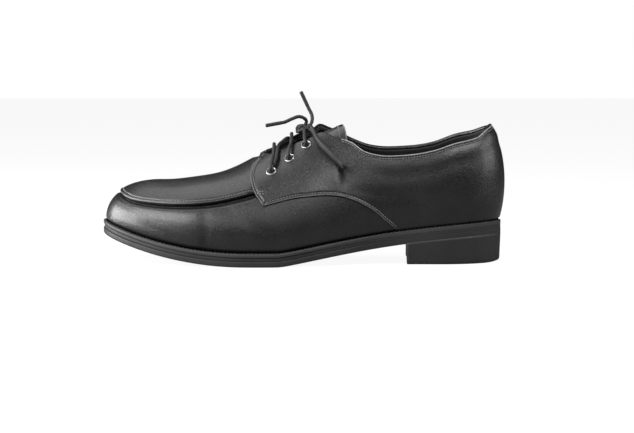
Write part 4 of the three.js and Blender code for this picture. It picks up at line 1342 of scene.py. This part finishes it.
def stitch_row(points, normals, pitch, length, radius):
    """Points and faces of one row of stitches along a line on a surface."""
    run = np.concatenate([[0], np.cumsum(np.linalg.norm(np.diff(points, axis=0), axis=1))])
    count = max(int(run[-1] / pitch), 1)
    starts = (run[-1] - count * pitch) / 2 + pitch * (np.arange(count) + 0.5) - length / 2
    steps = np.array([0, 0.12, 0.5, 0.88, 1.0])
    heights = np.array([-0.9, 0.15, 0.5, 0.15, -0.9]) * radius
    widths = np.array([0.35, 0.9, 1.0, 0.9, 0.35]) * radius
    at = starts[:, None] + steps * length
    line = np.stack([np.interp(at, run, points[:, k]) for k in range(3)], -1)
    up = np.stack([np.interp(at, run, normals[:, k]) for k in range(3)], -1)
    up /= np.linalg.norm(up, axis=-1, keepdims=True)
    ahead = np.stack([np.interp(at + 1e-4, run, points[:, k]) for k in range(3)], -1)
    behind = np.stack([np.interp(at - 1e-4, run, points[:, k]) for k in range(3)], -1)
    along = ahead - behind
    along /= np.linalg.norm(along, axis=-1, keepdims=True)
    side = np.cross(along, up)
    angle = 2 * np.pi * np.arange(STITCH_SIDES) / STITCH_SIDES
    ring = np.cos(angle)[:, None] * side[..., None, :] + np.sin(angle)[:, None] * up[..., None, :]
    body = line + heights[:, None] * up
    solid = body[..., None, :] + widths[:, None, None] * ring
    faces = []
    for n in range(count):
        base = n * len(steps) * STITCH_SIDES
        faces += wall_faces_between(len(steps), STITCH_SIDES, base)
        faces += end_faces(len(steps), STITCH_SIDES, base)
    return solid.reshape(-1, 3), faces


def sewing(name, rows, node):
    """One object of several rows, each a station, share and lift line with its pitch and length."""
    points, faces, count = [], [], 0
    for station, share, lift, pitch, length, radius in rows:
        line = skin(station, share, lift)
        row_points, row_faces = stitch_row(line, last_normal(station, share), pitch, length, radius)
        points.append(row_points)
        faces += [tuple(i + count for i in face) for face in row_faces]
        count += len(row_points)
    piece = mesh_object(name, np.concatenate(points), faces, thread)
    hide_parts(node)


def column_at(station, share, distance):
    """Shares at a distance along each column from its first point."""
    reach = from_edge(last_point(station, share))
    return np.array([np.interp(distance, reach[i], share[i]) for i in range(len(reach))])


def apron_row(side):
    station, share = apron_grid(side)
    at = column_at(station, share, SEW_AT)
    keep = apron_stations < APRON_SKIVED
    lift = (APRON_RAISE - SEW_DEPTH * 0.6) * tip_lowering(apron_stations[keep])
    return station[keep, 0], at[keep], lift


sewing(
    "apron_stitches",
    [(*apron_row(side), STITCH_PITCH, STITCH_LENGTH, STITCH_RADIUS) for side in (1, -1)],
    "upper",
)


def quarter_rows(lines):
    """The seam row, the front row and the collar row of one quarter."""
    along, part = np.meshgrid(quarter_along, quarter_parts, indexing="ij")
    station, share = lines.place(along, part)
    up, down, back = quarter_reach(last_point(station, share))
    low = np.array([np.interp(QUARTER_SEW_AT, up[i], part[i]) for i in range(len(up))])
    high = np.array([np.interp(-COLLAR_SEW_AT, -down[i], part[i]) for i in range(len(up))])
    ahead = np.array([np.interp(QUARTER_SEW_AT, back[:, j], along[:, j]) for j in range(back.shape[1])])
    sunk = QUARTER_RAISE - SEW_DEPTH * 0.35
    rows = []
    inside = quarter_along > np.interp(0, quarter_parts, ahead)
    seam = inside & (quarter_along < lines.feather - 0.05)
    rows.append((*lines.place(quarter_along[seam], low[seam]), sunk))
    middle = (up[0] > QUARTER_SEW_AT) & (down[0] > COLLAR_SEW_AT)
    place = lines.place(ahead[middle], quarter_parts[middle])
    rows.append((*place, sunk + over_apron(ahead[middle], place[1])))
    collar = inside & (quarter_along > COLLAR_FROM)
    rows.append((*lines.place(quarter_along[collar][:-1], high[collar][:-1]), sunk))
    return [
        (station, share, lift + 0 * station, STITCH_PITCH, STITCH_LENGTH, STITCH_RADIUS)
        for station, share, lift in rows
    ]


sewing("outer_quarter_stitches", quarter_rows(outer_lines), "upper")
sewing("inner_quarter_stitches", quarter_rows(inner_lines), "upper")

# Edges: pale tubes along the leather's cut edges paint their highlight as thin paler lines. A brighter
# tube on the collar's fold is a painted highlight, and the facings' cut edge at the throat is a thick
# black tube with no sheen that paints the shade in the throat gap.
EDGE_RADIUS = 0.00028
EDGE_SUNK = 0.0002
THROAT_EDGE_RADIUS = 0.0013
THROAT_EDGE_SUNK = 0.0003
# Pale grey tubes that paint the highlight along the cut edges
pale_edge_highlight = lace_material("pale_edge_highlight", (0.12, 0.12, 0.12), 0.4)


def edge_lines(name, rows, material):
    points, faces, count = [], [], 0
    for station, share, lift, radius in rows:
        line = smooth_path(skin(station, share, lift)[::3], 0.0012)
        row_points, row_faces = tube_mesh(line, lambda at, total, angle: np.full_like(angle, radius), 8)
        points.append(row_points)
        faces += [tuple(i + count for i in face) for face in row_faces]
        count += len(row_points)
    piece = mesh_object(name, np.concatenate(points), faces, material)
    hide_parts("upper")


apron_rows = []
for side in (1, -1):
    station, share = apron_grid(side)
    keep = apron_stations < APRON_SKIVED
    lift = APRON_RAISE * tip_lowering(apron_stations[keep]) - 0.0001
    apron_rows.append((station[keep, 0], share[keep, 0], lift, EDGE_RADIUS))
edge_lines("apron_edge", apron_rows, pale_edge_highlight)
# Thick black tube with no sheen along the throat edges: painted shade in the throat gap
throat_painted_shade = lace_material("throat_painted_shade", (0.002, 0.002, 0.002), 0.95)
# A brighter tube along the collar's fold: painted highlight
collar_painted_highlight = lace_material("collar_painted_highlight", (0.34, 0.34, 0.34), 0.3)
for side, lines in (("outer", outer_lines), ("inner", inner_lines)):
    seam = quarter_along[quarter_along < lines.feather - 0.02]
    collar = quarter_along[quarter_along > COLLAR_FROM]
    throat = quarter_along[quarter_along < COLLAR_FROM]
    cut_lift = QUARTER_RAISE - EDGE_SUNK
    lower = lines.place(seam, 0 * seam)
    front = lines.place(QUARTER_START + 0 * quarter_parts, quarter_parts)
    front_lift = cut_lift + over_apron(QUARTER_START, front[1])
    edge_lines(
        f"{side}_collar_edge",
        [(*lines.place(collar, 1 + 0 * collar), cut_lift, 1.3 * EDGE_RADIUS)], collar_painted_highlight,
    )
    edge_lines(
        f"{side}_quarter_edge",
        [(*lower, cut_lift, EDGE_RADIUS), (*front, front_lift, EDGE_RADIUS)], pale_edge_highlight,
    )
    edge_lines(
        f"{side}_throat_edge",
        [(*lines.place(throat, 1 + 0 * throat), -THROAT_EDGE_SUNK, THROAT_EDGE_RADIUS)], throat_painted_shade,
    )

# Tongue's free end: a pale tube along its cut edge paints its highlight like the others, and one row of
# stitches runs along it a little way in.
TONGUE_SEAM_ROW = -8
end_line = smooth_path(tongue_outer[-1][::3], 0.0012)
rim_points, rim_faces = tube_mesh(end_line, lambda at, total, angle: np.full_like(angle, 0.0005), 8)
tongue_edge = mesh_object("tongue_edge", rim_points, rim_faces, pale_edge_highlight)
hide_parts("tongue")
sewn_line = tongue_outer[TONGUE_SEAM_ROW]
sewn_normals = np.cross(np.gradient(sewn_line, axis=0), tongue_outer[-1] - sewn_line)
sewn_normals *= np.sign(sewn_normals[:, 2:3])
tongue_points, tongue_faces = stitch_row(
    sewn_line, sewn_normals, STITCH_PITCH, STITCH_LENGTH, 1.2 * STITCH_RADIUS,
)
tongue_stitches = mesh_object("tongue_stitches", tongue_points, tongue_faces, thread)
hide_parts("tongue")

# Throat bar: a rolled strip of the same leather that closes the foot of the throat, its ends
# tucked under the fronts of the quarters.
BAR_STATION = 5.99
BAR_RADIUS = 0.0016
bar_shares = np.array([0.74, 0.80, 0.88, 1.0])
bar_lifts = QUARTER_RAISE + np.array([-0.0012, -0.0004, -0.0008, -0.0010])
bar_route = np.concatenate([
    skin(BAR_STATION + 0 * bar_shares, bar_shares, bar_lifts),
    skin(ROUND - BAR_STATION + 0 * bar_shares[:-1], bar_shares[-2::-1], bar_lifts[-2::-1]),
])
bar_points, bar_faces = tube_mesh(
    smooth_path(bar_route, 0.0006), lambda at, total, angle: np.full_like(angle, BAR_RADIUS), 20,
)
throat_bar = mesh_object("throat_bar", bar_points, bar_faces, calf)
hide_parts("upper")

# Bar tacks: two short rows of the same thread, one above the other. They hold the front lower
# corner of each facing down on the vamp.
TACK_PITCH = 0.0019
TACK_LENGTH = 0.0016
TACK_GAP = 0.017
for name, lines in (("outer_tack", outer_lines), ("inner_tack", inner_lines)):
    ends = np.array([[0.392, 0.600], [0.412, 0.592]])
    rows = []
    for gap in (0, TACK_GAP):
        station, share = locate((ends - [0, gap]) * SIDE_UNIT, SIDE, False).T
        station, share = np.linspace(*station, 12), np.linspace(*share, 12)
        station = ROUND - station if lines.inner_side else station
        rows.append((station, share, QUARTER_RAISE, TACK_PITCH, TACK_LENGTH, STITCH_RADIUS))
    sewing(name, rows, "upper")

# Welt stitches: thick dark thread in long stitches all round the welt's upper face. It holds the
# welt to the layers below.
WELT_SEAM_INSET = 0.0014
WELT_PITCH = 0.0030
WELT_STITCH = 0.0021
WELT_THREAD_RADIUS = 0.0003
welt_line = sole_loop(WELT_SEAM_INSET, welt_high + 0.0001, np.linspace(0, ROUND, 900))
welt_up = np.tile([0.0, 0.0, 1.0], (len(welt_line), 1))
welt_points, welt_faces = stitch_row(welt_line, welt_up, WELT_PITCH, WELT_STITCH, WELT_THREAD_RADIUS)
dark_thread = lace_material("dark_thread", (0.035, 0.035, 0.035), 0.6)
welt_stitches = mesh_object("welt_stitches", welt_points, welt_faces, dark_thread)
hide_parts("welt")
